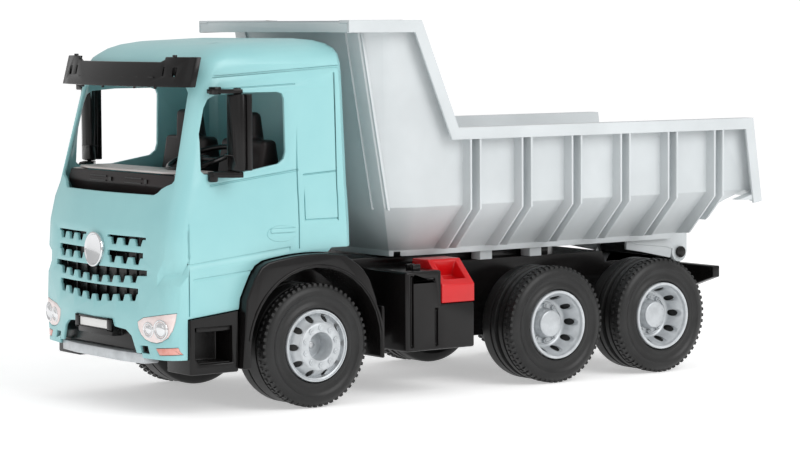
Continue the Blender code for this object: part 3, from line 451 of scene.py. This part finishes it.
def front_rim(lip, inner):
    """A rim with a double-ringed lip, ten holes, and a nut flange standing proud round a deep bore."""
    profile = [
        (inner, 29.2), (lip - 0.6, 29.2), (lip, 28.8), (lip, 28.1), (lip - 0.7, 27.7), (lip - 0.9, 27.3),
        (lip - 0.5, 26.9), (lip - 0.8, 26.3), (lip - 3.4, 25.9), (lip - 4.2, 25.4), (lip - 4.0, 24.9),
        (lip + 2.6, 20.4), (lip + 3.6, 19.7), (lip + 4.0, 19.5), (lip + 4.0, 19.2), (lip + 4.5, 18.9),
        (lip + 4.8, 18.4), (lip + 4.8, 12.2), (lip + 4.6, 11.6), (lip + 4.0, 11.2), (lip - 11.2, 10.2),
        (lip - 11.2, 3.5), (inner, 3.5), (inner, 7.5), (lip - 14.2, 7.5), (lip - 13.8, 12.6),
        (lip + 2.6, 13.0), (lip + 3.2, 18.6), (lip - 3.8, 24.1), (lip - 6.0, 26.7), (inner, 26.7),
    ]
    rim = oval_holes(turned(profile), ring=22.7, radial=2.9, around=2.75, low=lip - 12, high=lip + 3.6)
    smooth(rim, 32)
    boss = eased_rod("X", (0, 0), 2.3, lip + 4.5, lip + 5.9, 0.4, 2, 20)
    tip = eased_rod("X", (0, 0), 1.2, lip + 5.4, lip + 6.5, 0.3, 1, 14)
    return joined(rim, round_centre(moved(joined(boss, tip), 0, 0, FRONT_NUTS), HOLES))


def rear_rim(lip, inner):
    """A deep dish with ten ovals in its cone, and a hub ringed with nuts at its bottom."""
    profile = [
        (inner, 29.2), (lip - 0.6, 29.2), (lip, 28.8), (lip, 27.2), (lip - 0.6, 26.6), (lip - 3.0, 26.3),
        (lip - 3.8, 25.9), (lip - 4.2, 25.5), (lip - 17.8, 21.5), (lip - 19.2, 20.6), (lip - 19.9, 19.2),
        (lip - 20.0, 18.4), (lip - 19.0, 18.2), (lip - 18.8, 17.7), (lip - 19.0, 17.2), (lip - 20.0, 17.0),
        (lip - 20.0, 13.4), (lip - 19.2, 12.6), (lip - 13.4, 11.8), (lip - 12.8, 11.3), (lip - 12.8, 3.5),
        (inner, 3.5), (inner, 7.5), (lip - 22.0, 7.5), (lip - 22.0, 20.0), (lip - 20.6, 21.9),
        (lip - 6.0, 26.2), (lip - 6.4, 26.7), (inner, 26.7),
    ]
    rim = oval_holes(turned(profile), ring=23.0, radial=2.15, around=3.0, low=lip - 26, high=lip - 4.6)
    smooth(rim, 32)
    nut = eased_rod("X", (0, 0), 1.9, lip - 20.5, lip - 17.4, 0.5, 2, 16)
    stud = eased_rod("X", (0, 0), 1.0, lip - 18.0, lip - 16.2, 0.4, 1, 12)
    return joined(rim, round_centre(moved(joined(nut, stud), 0, 0, REAR_NUTS), HOLES))


def axle_nut(face):
    """A spring nut down in the bore of a front rim: a low cone with a flat cap."""
    profile = [(face, 0), (face, 4.2), (face - 0.8, 5.4), (face - 1.9, 9.4), (face - 1.9, 0)]
    return smooth(turned(profile, 48))


def hub_cap(face):
    """A flat cap with a rounded edge and a ring of pips."""
    radius = 11.5
    profile = [(face + 2.6, 0.0), (face + 2.6, radius - 1.1), (face + 2.3, radius - 0.4),
               (face + 1.6, radius), (face + 0.3, radius), (face + 0.3, 0.0)]
    pip = moved(rod("X", (0, 0), 0.45, face + 2.4, face + 3.0, 8), 0, 0, radius - 2.1)
    return joined(smooth(turned(profile, 64)), round_centre(pip, 10, 0.25))


def build_wheels():
    """Six wheels, the twin-tyred ones on the two rear axles, and their axles."""
    low, high = reach("tyre_front_left")
    lip, inner = high.x + LIP_STANDS_OUT, low.x + 1.0
    # the sleeves are painted shade: dark rings just behind the rim's holes, standing for the shade inside
    # the wheel
    front_sleeve = [(lip + 2.6, 18.9), (lip - 4.4, 24.4), (lip - 8.5, 24.4), (lip - 8.5, 18.9)]
    rear_sleeve = [(lip - 6.4, 26.4), (lip - 20.4, 22.2), (lip - 24.0, 22.2), (lip - 24.0, 26.4)]
    front = [
        ("tyre", "tyre_black", joined(tyre(low, high, False), shade_sleeve(front_sleeve))),
        ("rim", "rim_silver", front_rim(lip, inner)),
        ("axle_nut", "rim_silver", axle_nut(lip - 9.0)),
    ]
    rear = [
        ("tyre", "tyre_black", joined(tyre(low, high, True), shade_sleeve(rear_sleeve))),
        ("rim", "rim_silver", rear_rim(lip, inner)),
        ("hub_cap", "rim_silver", hub_cap(lip - 12.8)),
    ]
    for place, shapes in (("front", front), ("mid", rear), ("rear", rear)):
        centre = centre_of("tyre_" + place + "_left")
        for part, slot, shape in shapes:
            node = part + "_" + place
            placed = moved(copy_of(shape), 0, centre.y, centre.z)
            show_pair(placed, node + "_moulding", slot, "wheel_" + place, node)
    for entry in front + rear:
        bpy.data.objects.remove(entry[2])
    for place in ("front", "mid", "rear"):
        node = place + "_axle"
        low, high = reach(node)
        centre = centre_of(node)
        bar = eased_rod("X", (centre.y, centre.z), (high.z - low.z) / 2, low.x, high.x, 0.5)
        show(bar, node + "_rod", "steel", NODES[node]["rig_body"], [node])


# ---------------------------------------------------------------- cab

DOOR_FRONT = NOSE + 20.0
DOOR_REAR = NOSE + 131.0
CORNER_SEAM = NOSE + 169.0
LOCKER_FRONT = NOSE + 137.0  # the small panel between the door and the cab's rear corner


def side_groove(start, end, width, depth):
    """A cutter for a shallow groove in the left side panel, from one (y, z) point to another."""
    (y0, z0), (y1, z1) = start, end
    run = math.hypot(y1 - y0, z1 - z0)
    ny, nz = -(z1 - z0) / run * width / 2, (y1 - y0) / run * width / 2
    outline = [(y0 + ny, z0 + nz), (y1 + ny, z1 + nz), (y1 - ny, z1 - nz), (y0 - ny, z0 - nz)]
    return outlined("X", outline, SIDE - depth, SIDE + 6)


def rising_ledge(y0, z0, y1, z1, height, depth):
    """A cutter with a sharp top edge and a sloping floor, rising towards the back along the side."""
    outline = [(SIDE + 1, z0 + height), (SIDE - depth, z0 + height),
               (SIDE - depth * 0.6, z0 + height * 0.55), (SIDE + 0.02, z0), (SIDE + 1, z0)]
    return outlined("Y", outline, y0, y1, (0, 0, z1 - z0))


def both(cutters):
    """Cutters and their mirror images."""
    return cutters + [mirrored(cutter) for cutter in cutters]


def build_cab():
    """The shell, with ledges low on the door, panel seams, the waist line and the roof's gutter cut in."""
    shell = cad_copy("cab_shell")
    ledges = [
        rising_ledge(DOOR_FRONT, 114.8, NOSE + 122, 124.9, 5.2, 1.3),
        rising_ledge(DOOR_FRONT + 12, 106.2, NOSE + 92, 111.0, 2.8, 1.0),
    ]
    seams = [
        side_groove((DOOR_FRONT, 62), (DOOR_FRONT, 146), 0.9, 1.0),
        side_groove((DOOR_FRONT + 7.5, 80), (DOOR_FRONT + 7.5, 152), 0.9, 1.0),
        side_groove((DOOR_REAR, 128), (DOOR_REAR, 252), 0.9, 4.0),
        side_groove((NOSE + 49, 181.5), (DOOR_REAR + 1, 191.0), 1.1, 2.8),
        side_groove((NOSE + 50, 266), (NOSE + 178, 273.5), 1.8, 7.0),
        side_groove((NOSE + 56, 256.5), (DOOR_REAR, 259.5), 0.8, 5.6),
        side_groove((CORNER_SEAM, 149), (CORNER_SEAM, 268), 0.9, 5.8),
        side_groove((LOCKER_FRONT, 151), (LOCKER_FRONT, 187), 0.7, 2.2),
        side_groove((LOCKER_FRONT, 187), (CORNER_SEAM, 189), 0.7, 2.8),
        side_groove((LOCKER_FRONT, 151), (CORNER_SEAM, 151), 0.7, 1.2),
    ]
    cut(shell, both(ledges + seams))
    clean(shell, 0.4)
    soften(shell, 0.6, 2, 42.0)
    show(shell, "cab_moulding", "cab_blue", "root", ["cab_shell"])


def build_door_handles():
    """A grip bar across a rounded cup, low on each door's rear edge."""
    y, z = DOOR_REAR - 17.0, 141.0
    turns = [math.pi * 2 * i / 28 for i in range(28)]
    oval = [(y - 14 * math.cos(t), z + 6.5 * math.sin(t)) for t in turns]
    cup = outlined("X", oval, SIDE - 0.4, SIDE + 0.5)
    bar = eased_block((SIDE - 0.2, y - 11, z + 0.6), (SIDE + 1.6, y + 13, z + 4.4), 1.0, 3)
    show_pair(joined(soften(cup, 0.4, 2), bar), "door_handle", "cab_blue")


def build_roof():
    """A low raised panel along the roof, which falls forwards with it."""
    front, rear = NOSE + 96, CAB_BACK - 40
    left = [(44, front), (58, front + 12), (58, rear - 6), (50, rear)]
    right = [(-x, y) for x, y in reversed(left)]
    top = CAB_HIGH.z
    panel = outlined("Z", left + right, top - 2.5, top + 1.2)
    for vertex in panel.data.vertices:
        vertex.co.z -= ROOF_FALL * (CAB_BACK * MM - vertex.co.y) / (CAB_BACK - NOSE)
    show(soften(panel, 1.2, 3), "roof_panel", "cab_blue", "root")


def torus(major, minor, centre, major_segments, minor_segments):
    """A ring lying flat round a centre."""
    bpy.ops.object.select_all(action="DESELECT")
    bpy.ops.mesh.primitive_torus_add(major_radius=major * MM, minor_radius=minor * MM, location=centre * MM,
                                     major_segments=major_segments, minor_segments=minor_segments)
    return bpy.context.object


def lamp_reflector(x, z, radius):
    """Two chrome rings round a domed bulb, lying on the headlight's lens."""
    y, normal = surface_y("headlight_left", x, z)
    lie = normal.to_track_quat("Z", "Y")
    pieces = []
    for major, minor in ((radius, 0.75), (radius - 1.7, 0.4)):
        ring = torus(major, minor, Vector((x, y, z)), 40, 10)
        ring.rotation_mode = "QUATERNION"
        ring.rotation_quaternion = lie
        bpy.ops.object.transform_apply(location=True, rotation=True, scale=True)
        pieces.append(smooth(ring, 60))
    bpy.ops.object.select_all(action="DESELECT")
    bpy.ops.mesh.primitive_uv_sphere_add(segments=32, ring_count=16, radius=(radius - 2.2) * MM)
    bulb = bpy.context.object
    bulb.data.transform(Matrix.Diagonal((1, 1, 0.28, 1)))
    bulb.data.transform(lie.to_matrix().to_4x4())
    pieces.append(smooth(moved(bulb, x, y, z), 60))
    return joined(*pieces)


def build_lamps():
    """Headlights and fog lights, and two reflectors at (x, z) points of each headlight's face."""
    for name, slot in (("headlight", "lamp_clear"), ("fog_light", "fog_amber")):
        lens = soften(cad_copy(name + "_left"), 0.35, 2, 24.0)
        show_pair(lens, name + "_lens", slot, "root", name)
    reflectors = joined(lamp_reflector(89.4, 70.0, 7.3), lamp_reflector(75.0, 69.0, 5.5))
    show_pair(reflectors, "headlight_reflectors", "plate_white", material=CHROME)


def build_nose_trim():
    """Grille, intake, skid plate and blank number plate, each with its own width of rounded edge."""
    trim = (("grille_insert", "black_plastic", 0.4), ("intake_insert", "black_plastic", 0.7),
            ("skid_plate", "rim_silver", 0.9), ("number_plate", "plate_white", 0.3))
    for node, slot, width in trim:
        show(soften(cad_copy(node), width, 2), node + "_moulding", slot, "root", [node])


def build_badge():
    """A plain dished disc with a raised rim, leaning back with the grille."""
    low, high = reach("grille_badge")
    radius = (high.z - low.z) / 2
    dish = [(0.0, 0.0), (0.3, radius - 3.4), (0.55, radius - 2.6), (1.5, radius - 2.0), (1.8, radius - 1.2),
            (1.4, radius - 0.3), (0.6, radius), (-1.2, radius), (-1.2, 0.0)]
    disc = smooth(turned(dish, 64))
    disc.data.transform(Matrix.Rotation(math.radians(-90), 4, "Z"))
    disc.data.transform(Matrix.Rotation(math.radians(-3.0), 4, "X"))
    moved(disc, 0, high.y - 0.9, (low.z + high.z) / 2)
    show(disc, "plain_badge", "rim_silver", "root", ["grille_badge"], CHROME)


def build_grille_ribs():
    """Nine upright ribs set evenly across the grille."""
    ribs = []
    spacing, half = 15.8, 0.8
    for i in range(-4, 5):
        x = i * spacing
        ribs.append(eased_block((x - half, NOSE + 12.4, 84), (x + half, NOSE + 14.2, 146), 0.3, 1))
    show(joined(*ribs), "grille_ribs", "black_plastic", "root")


def build_plate_surround():
    """Four bars round the number plate."""
    half, bottom, top, front, back = 29, 63.6, 74.2, NOSE - 0.4, NOSE + 1.8
    surround = [
        eased_block((-half, front, bottom), (half, back, bottom + 1.8), 0.5),
        eased_block((-half, front, top - 1.6), (half, back, top), 0.5),
        eased_block((-half, front, bottom), (-half + 7, back, top), 0.5),
        eased_block((half - 7, front, bottom), (half, back, top), 0.5),
    ]
    show(joined(*surround), "plate_surround", "black_plastic", "root")


def build_dashboard():
    """The cab's floor and dashboard, with a pale cover that ends in two posts, and two groups of vents. The
    posts' pale grey is a painted highlight on the dashboard's rounded front corners.
    """
    dash = soften(cad_copy("cab_interior"), 1.2, 3)
    show(dash, "dashboard_and_floor", "seat_grey", "root", ["cab_interior"])
    top = 189.4
    outline = [(-82, NOSE + 36), (-60, NOSE + 30), (60, NOSE + 30), (82, NOSE + 36), (80, NOSE + 66),
               (-80, NOSE + 66)]
    cover = outlined("Z", outline, top + 0.2, top + 2.0)
    # the posts are painted highlight: pale grey rods that stand for the lit rounded corners of the
    # dashboard's front
    ends = [eased_rod("Z", (side * 80, NOSE + 35.5), 6.0, 150, top, 0.8, 2, 28) for side in SIDES]
    show(joined(soften(cover, 0.6, 2), *ends), "dashboard_top_and_highlight_posts", "seat_grey", "root", material=DASH_GREY_AND_HIGHLIGHT)
    vents = []
    for x in (-48, 8):
        vents.append(block((x, NOSE + 25.6, 180.8), (x + 26, NOSE + 27.4, 181.8)))
        vents.append(block((x, NOSE + 26.2, 184.4), (x + 26, NOSE + 28.0, 185.4)))
        vents.append(block((x + 31, NOSE + 25.6, 181.2), (x + 35, NOSE + 27.4, 184.6)))
    show(joined(*vents), "dashboard_vents", "black_plastic", "root")


def build_seats():
    """Two seats with generously rounded edges."""
    for node in ("driver_seat", "passenger_seat"):
        show(soften(cad_copy(node), 4.0, 4), node + "_moulding", "seat_grey", "root", [node])


def build_steering_wheel():
    """A ring leaning towards the driver, a boss, one long spoke and a column down into the dashboard."""
    low, high = reach("steering_wheel")
    centre = (low + high) / 2
    thick = 2.2
    radius = (high.x - low.x) / 2 - thick
    ring = torus(radius, thick, centre, 64, 14)
    ring.rotation_euler.x = math.radians(18)
    bpy.ops.object.transform_apply(location=True, rotation=True, scale=True)
    smooth(ring, 60)
    boss = eased_rod("Z", (centre.x, centre.y), 7.0, centre.z - 4, centre.z + 2.4, 1.2, 3, 32)
    spoke = eased_block((centre.x - radius, centre.y - 3, centre.z - 1.6),
                        (centre.x + radius, centre.y + 3, centre.z + 1.6), 1.0, 3)
    column = eased_rod("Z", (centre.x, centre.y), 4.0, 188, centre.z - 2, 0.5)
    show(joined(ring, boss, spoke, column), "steering_wheel_moulding", "black_plastic", "root",
         ["steering_wheel"])


def build_visor():
    """The band over the windscreen, with two blind holes near each end, a seam and its pegs."""
    low, high = reach("sun_visor")
    visor = cad_copy("sun_visor")
    middle = (low.z + high.z) / 2 - 2
    holes = []
    for x, width, bottom in ((81.5, 5.4, middle - 1.5), (68.5, 2.2, middle - 1)):
        y = surface_y("sun_visor", x, middle + 2)[0]
        holes.append(block((x - width / 2, y - 6, bottom), (x + width / 2, y + 1.9, bottom + 7)))
    cut(visor, both(holes))
    details = [soften(visor, 0.6, 2)]
    for x in (-52, -20, 30, 62):
        details.append(eased_rod("Z", (x, low.y + 6), 1.2, low.z - 1.6, low.z + 2, 0.3, 1, 12))
    for x in range(-50, 51, 20):
        y = surface_y("sun_visor", x, middle)[0]
        low_corner, high_corner = (x - 9.4, y - 0.25, middle - 2.5), (x + 9.4, y + 1.2, middle - 1.7)
        details.append(eased_block(low_corner, high_corner, 0.2, 1))
    for x in (-78, 78):
        y = surface_y("sun_visor", x, high.z - 2)[0]
        details.append(eased_block((x - 2, y + 0.4, high.z - 4), (x + 2, y + 2.8, high.z + 1.6), 0.5))
    show(joined(*details), "sun_visor_moulding", "black_plastic", "root", ["sun_visor"])


def build_mirror_heads():
    """A rounded shell, a dark gap, and the strip behind it, with a wire let into the shell's foot."""
    low, high = reach("mirror_head_left")
    x0, x1, y0, y1 = low.x, high.x, low.y, high.y
    front = [(x0 + 0.2, y0 + 4.0), (x0 + 2.2, y0 + 1.6), (x0 + 6, y0 + 0.2), (x0 + 12, y0 + 0.6),
             (x1 - 3.5, y0 + 2.8), (x1 - 1.4, y0 + 5.2), (x1 - 1.6, y0 + 7.4), (x0 + 1.4, y0 + 7.4)]
    back = [(x0 + 2, y0 + 8.6), (x1 - 2.4, y0 + 8.6), (x1, y0 + 10), (x1 - 0.8, y1), (x0 + 2, y1)]
    shell = soften(outlined("Z", front, low.z, high.z), 1.3, 3)
    strip = soften(outlined("Z", back, low.z + 0.6, high.z + 0.4), 0.8, 3)
    core = block((x0 + 2.4, y0 + 6, low.z + 2), (x1 - 3, y1 - 1.5, high.z - 1.5))
    wire = eased_block((x0 - 0.3, y0 - 0.3, low.z + 12), (x0 + 13, y0 + 8.4, low.z + 13), 0.3, 1)
    cut(shell, [wire])
    show_pair(joined(shell, strip, core), "mirror_housing", "black_plastic", "mirror", "mirror_head")


def build_mirror_brackets():
    """Two arms with the mirror's pin between them, a ball under the lower one and a hinge on the upper."""
    low, high = reach("mirror_arm_left")
    x, y = high.x - 4, high.y - 3.5
    arm = [(low.x, y - 17), (low.x + 5, y - 17), (x + 2, y - 5), (x + 4, y + 3), (x - 5, y + 3.5),
           (low.x, y - 6)]
    bracket = [
        soften(outlined("Z", arm, low.z, low.z + 4.5), 0.6, 2),
        soften(outlined("Z", arm, high.z - 3.5, high.z), 0.6, 2),
        eased_rod("Z", (x, y), 1.8, low.z + 1, high.z - 1, 0.6, 2, 12),
        eased_rod("Z", (low.x + 3.6, y - 14), 4.0, low.z - 3.6, low.z + 4, 1.4, 3),
        eased_block((low.x + 1, y - 16, high.z - 4.2), (low.x + 11, y - 10, high.z + 1.8), 0.8),
        eased_rod("Z", (x, y), 3.0, high.z - 4, high.z + 1.0, 0.5, 2, 20),
    ]
    show_pair(joined(*bracket), "mirror_bracket", "black_plastic", "root", "mirror_arm")


# ---------------------------------------------------------------- body sides


def build_fenders():
    """The mudguard, with a raised lip round its arch and a flap hanging from its rear."""
    low, high = reach("fender_left")
    centre = centre_of("tyre_front_left")
    fender = soften(cad_copy("fender_left"), 1.6, 4)
    arch = (high.y - low.y - 11.0) / 2
    turns = [math.pi * (0.04 + 0.92 * i / 24) for i in range(25)]

    def arc(radius, angles):
        return [(centre.y + radius * math.cos(t), centre.z + radius * math.sin(t)) for t in angles]
    band = arc(arch + 1.0, turns) + arc(arch + 3.1, reversed(turns))
    lip = soften(outlined("X", band, high.x - 1.5, high.x + 0.9), 0.5, 2)
    flap = eased_block((low.x + 1, high.y - 2.4, low.z - 0.5),
                       (high.x + 0.6, high.y + 0.4, low.z + 42), 0.9, 3)
    show_pair(joined(fender, lip, flap), "fender_moulding", "black_plastic", "root", "fender")


def build_steps():
    """The entry step, with a handrail over its recess and three ribs on its tread."""
    low, high = reach("side_step_left")
    step = soften(cad_copy("side_step_left"), 1.2, 3)
    rail = eased_block((high.x - 7, low.y + 7, high.z - 15), (high.x - 2, high.y - 6, high.z - 11), 0.8)
    ribs = []
    z = low.z + 8.4
    for x in (high.x - 18, high.x - 12, high.x - 6):
        ribs.append(eased_block((x, low.y + 8, z - 0.8), (x + 3, high.y - 6, z + 0.8), 0.4, 1))
    show_pair(joined(step, rail, *ribs), "side_step_moulding", "black_plastic", "root", "side_step")


def build_boxes():
    """The tool box, with seams in its side and two prongs on its lid, and the chock on its ledge."""
    low, high = reach("side_box_left")
    box = cad_copy("side_box_left")
    inside, outside = high.x - 0.9, high.x + 2
    seams = [block((inside, low.y + 6, low.z + 4), (outside, low.y + 6.9, high.z - 4)),
             block((inside, low.y + 31, low.z + 4), (outside, low.y + 31.9, high.z - 32)),
             block((inside, low.y + 9, high.z - 8), (outside, low.y + 29, high.z - 7))]
    cut(box, seams)
    soften(box, 2.0, 3)
    prongs = []
    for x in (high.x - 12, high.x - 20):
        prongs.append(eased_block((x, low.y + 14, high.z - 1), (x + 2.5, low.y + 22, high.z + 5), 0.6))
    show_pair(joined(box, *prongs), "side_box_moulding", "black_plastic", "root", "side_box")
    chock = soften(cad_copy("wheel_chock_left"), 1.0, 3)
    show_pair(chock, "wheel_chock_moulding", "chock_red", "root", "wheel_chock")


def build_chassis():
    """The frame with the low deck under the bed, the rear bumper with its lamps, and the bed's pin."""
    chassis = soften(cad_copy("chassis_frame"), 0.8, 2)
    half = FRAME_SIDE - 6
    deck = eased_block((-half, CAB_BACK - 16, DECK - 9.0), (half, BED_LOW.y + 262, DECK - 1.2), 0.6)
    show(joined(chassis, deck), "chassis_moulding", "black_plastic", "root", ["chassis_frame"])
    high = reach("rear_bumper")[1]
    bumper = soften(cad_copy("rear_bumper"), 1.0, 3)
    lamps = []
    for x in (-70, 70):
        lamps.append(eased_block((x - 12, high.y - 0.4, high.z - 8),
                                 (x + 12, high.y + 1.0, high.z - 2), 0.4))
    show(joined(bumper, *lamps), "rear_bumper_moulding", "black_plastic", "root", ["rear_bumper"])
    pin = soften(cad_copy("bed_pivot_pin"), 0.5, 2)
    show(pin, "bed_pivot_pin_turned", "black_plastic", NODES["bed_pivot_pin"]["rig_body"], ["bed_pivot_pin"])


# ---------------------------------------------------------------- load bed


def front_rib(x, bow):
    """A thin rib up the sloping front wall, standing back from it by a bow at the corner."""
    bend, rise, lean = DECK + 44, 152.0, 27.0
    outline = [(x - 0.9, bend - 2), (x + 0.9, bend - 2), (x + 0.9, bend + rise), (x - 0.9, bend + rise)]
    rib = outlined("Y", outline, 0.0, 2.6)
    for vertex in rib.data.vertices:
        share = (vertex.co.z / MM - bend) / rise
        vertex.co.y += (BED_LOW.y + 47.6 - lean * share + bow) * MM
    return soften(rib, 0.5, 2)


def tail_gusset(side):
    """The small solid corner between the side wall, the rail and the tail."""
    outline = [(TAIL - 27, DECK + 36), (TAIL - 5, DECK + 42), (TAIL - 1.5, DECK + 35.2)]
    return soften(outlined("X", outline, *sorted((side * (RAIL - 11.7), side * (RAIL - 1.5)))), 0.4, 1)


def ear_web(side):
    """The plate that runs from the bed's floor down to its hinge ear."""
    pin = centre_of("bed_pivot_pin")
    y, z, ear = pin.y, pin.z, FRAME_SIDE + 2.0
    outline = [(y - 62, DECK + 5), (y - 62, DECK - 8), (y - 44, DECK - 11), (y - 10, z - 5), (y - 6, z + 8),
               (y + 8, DECK + 5)]
    return soften(outlined("X", outline, *sorted((side * (ear + 0.6), side * (ear + 3.4)))), 0.5, 2)


def build_bed():
    """The ribbed bed, with thin ribs up its front wall, corner gussets and plates by its hinge ears."""
    # the bed's flat faces keep their lines: merged into one they are too bent for the rounded edges
    bed = soften(cad_copy("tipper_body", flat=False), 0.5, 2, 30.0)
    extras = []
    for x, bow in ((75.0, 0.0), (94.0, 2.6)):
        extras += [front_rib(side * x, bow) for side in SIDES]
    extras += [tail_gusset(side) for side in SIDES]
    extras += [ear_web(side) for side in SIDES]
    show(joined(bed, *extras), "load_bed_moulding", "bed_grey", "tipper", ["tipper_body"])


# ---------------------------------------------------------------- studio


def build_floor():
    """White paper just under the tyres, which glows a little so that it stays white as far as it goes."""
    bpy.ops.object.select_all(action="DESELECT")
    bpy.ops.mesh.primitive_plane_add(size=40, location=(0, 0, -0.5 * MM))
    floor = bpy.context.object
    floor.name = "floor"
    paper = moulded("white studio paper", "#F2F2F2", "#F6F6F6", (0.80, 0.90), 4.0, 0.01,
                    Emission_Color=linear("#FFFFFF"), Emission_Strength=0.42)
    floor.data.materials.append(paper)


def build_light():
    """A white room that looks brighter than it lights, a key lamp at the side and a weak fill; metres."""
    world = bpy.data.worlds.new("studio")
    bpy.context.scene.world = world
    world.use_nodes = True
    seen = add(world.node_tree, "ShaderNodeLightPath", {}).outputs["Is Camera Ray"]
    strength = add(world.node_tree, "ShaderNodeMapRange", {"Value": seen, "To Min": 0.66, "To Max": 1.05})
    backdrop = world.node_tree.nodes["Background"]
    backdrop.inputs["Color"].default_value = linear("#FFFFFF")
    world.node_tree.links.new(strength.outputs["Result"], backdrop.inputs["Strength"])
    aim, lamp_size = Vector((0, 0, 0.12)), 1.8
    for name, place, watts in (("key", (2.4, 0.4, 1.7), 38.0), ("fill", (0.4, -2.6, 1.3), 4.0)):
        light = bpy.data.lights.new(name, "AREA")
        light.size = lamp_size
        light.energy = watts
        lamp = bpy.data.objects.new(name, light)
        lamp.location = place
        lamp.rotation_mode = "QUATERNION"
        lamp.rotation_quaternion = (aim - Vector(place)).to_track_quat("-Z", "Y")
        bpy.context.scene.collection.objects.link(lamp)
    bpy.context.scene.view_settings.view_transform = "Standard"


def build_camera():
    """A long lens from the front left, a little above the truck's middle. Places are in metres."""
    azimuth, elevation, roll = math.radians(54.116), math.radians(4.29), math.radians(-0.289)
    back = Vector((math.sin(azimuth) * math.cos(elevation), -math.cos(azimuth) * math.cos(elevation),
                   math.sin(elevation)))
    camera = bpy.data.objects.new("camera", bpy.data.cameras.new("camera"))
    camera.data.lens = 125.87
    camera.data.sensor_width = 36.0
    camera.data.clip_end = 30.0
    camera.location = (1.9553, -1.4220, 0.3110)
    camera.rotation_mode = "QUATERNION"
    camera.rotation_quaternion = (-back).to_track_quat("-Z", "Y") @ Quaternion((0, 0, 1), roll)
    bpy.context.scene.collection.objects.link(camera)
    bpy.context.scene.camera = camera


build_wheels()
build_cab()
build_door_handles()
build_roof()
build_lamps()
build_nose_trim()
build_badge()
build_grille_ribs()
build_plate_surround()
build_dashboard()
build_seats()
build_steering_wheel()
build_visor()
build_mirror_heads()
build_mirror_brackets()
build_fenders()
build_steps()
build_boxes()
build_chassis()
build_bed()
build_floor()
build_light()
build_camera()
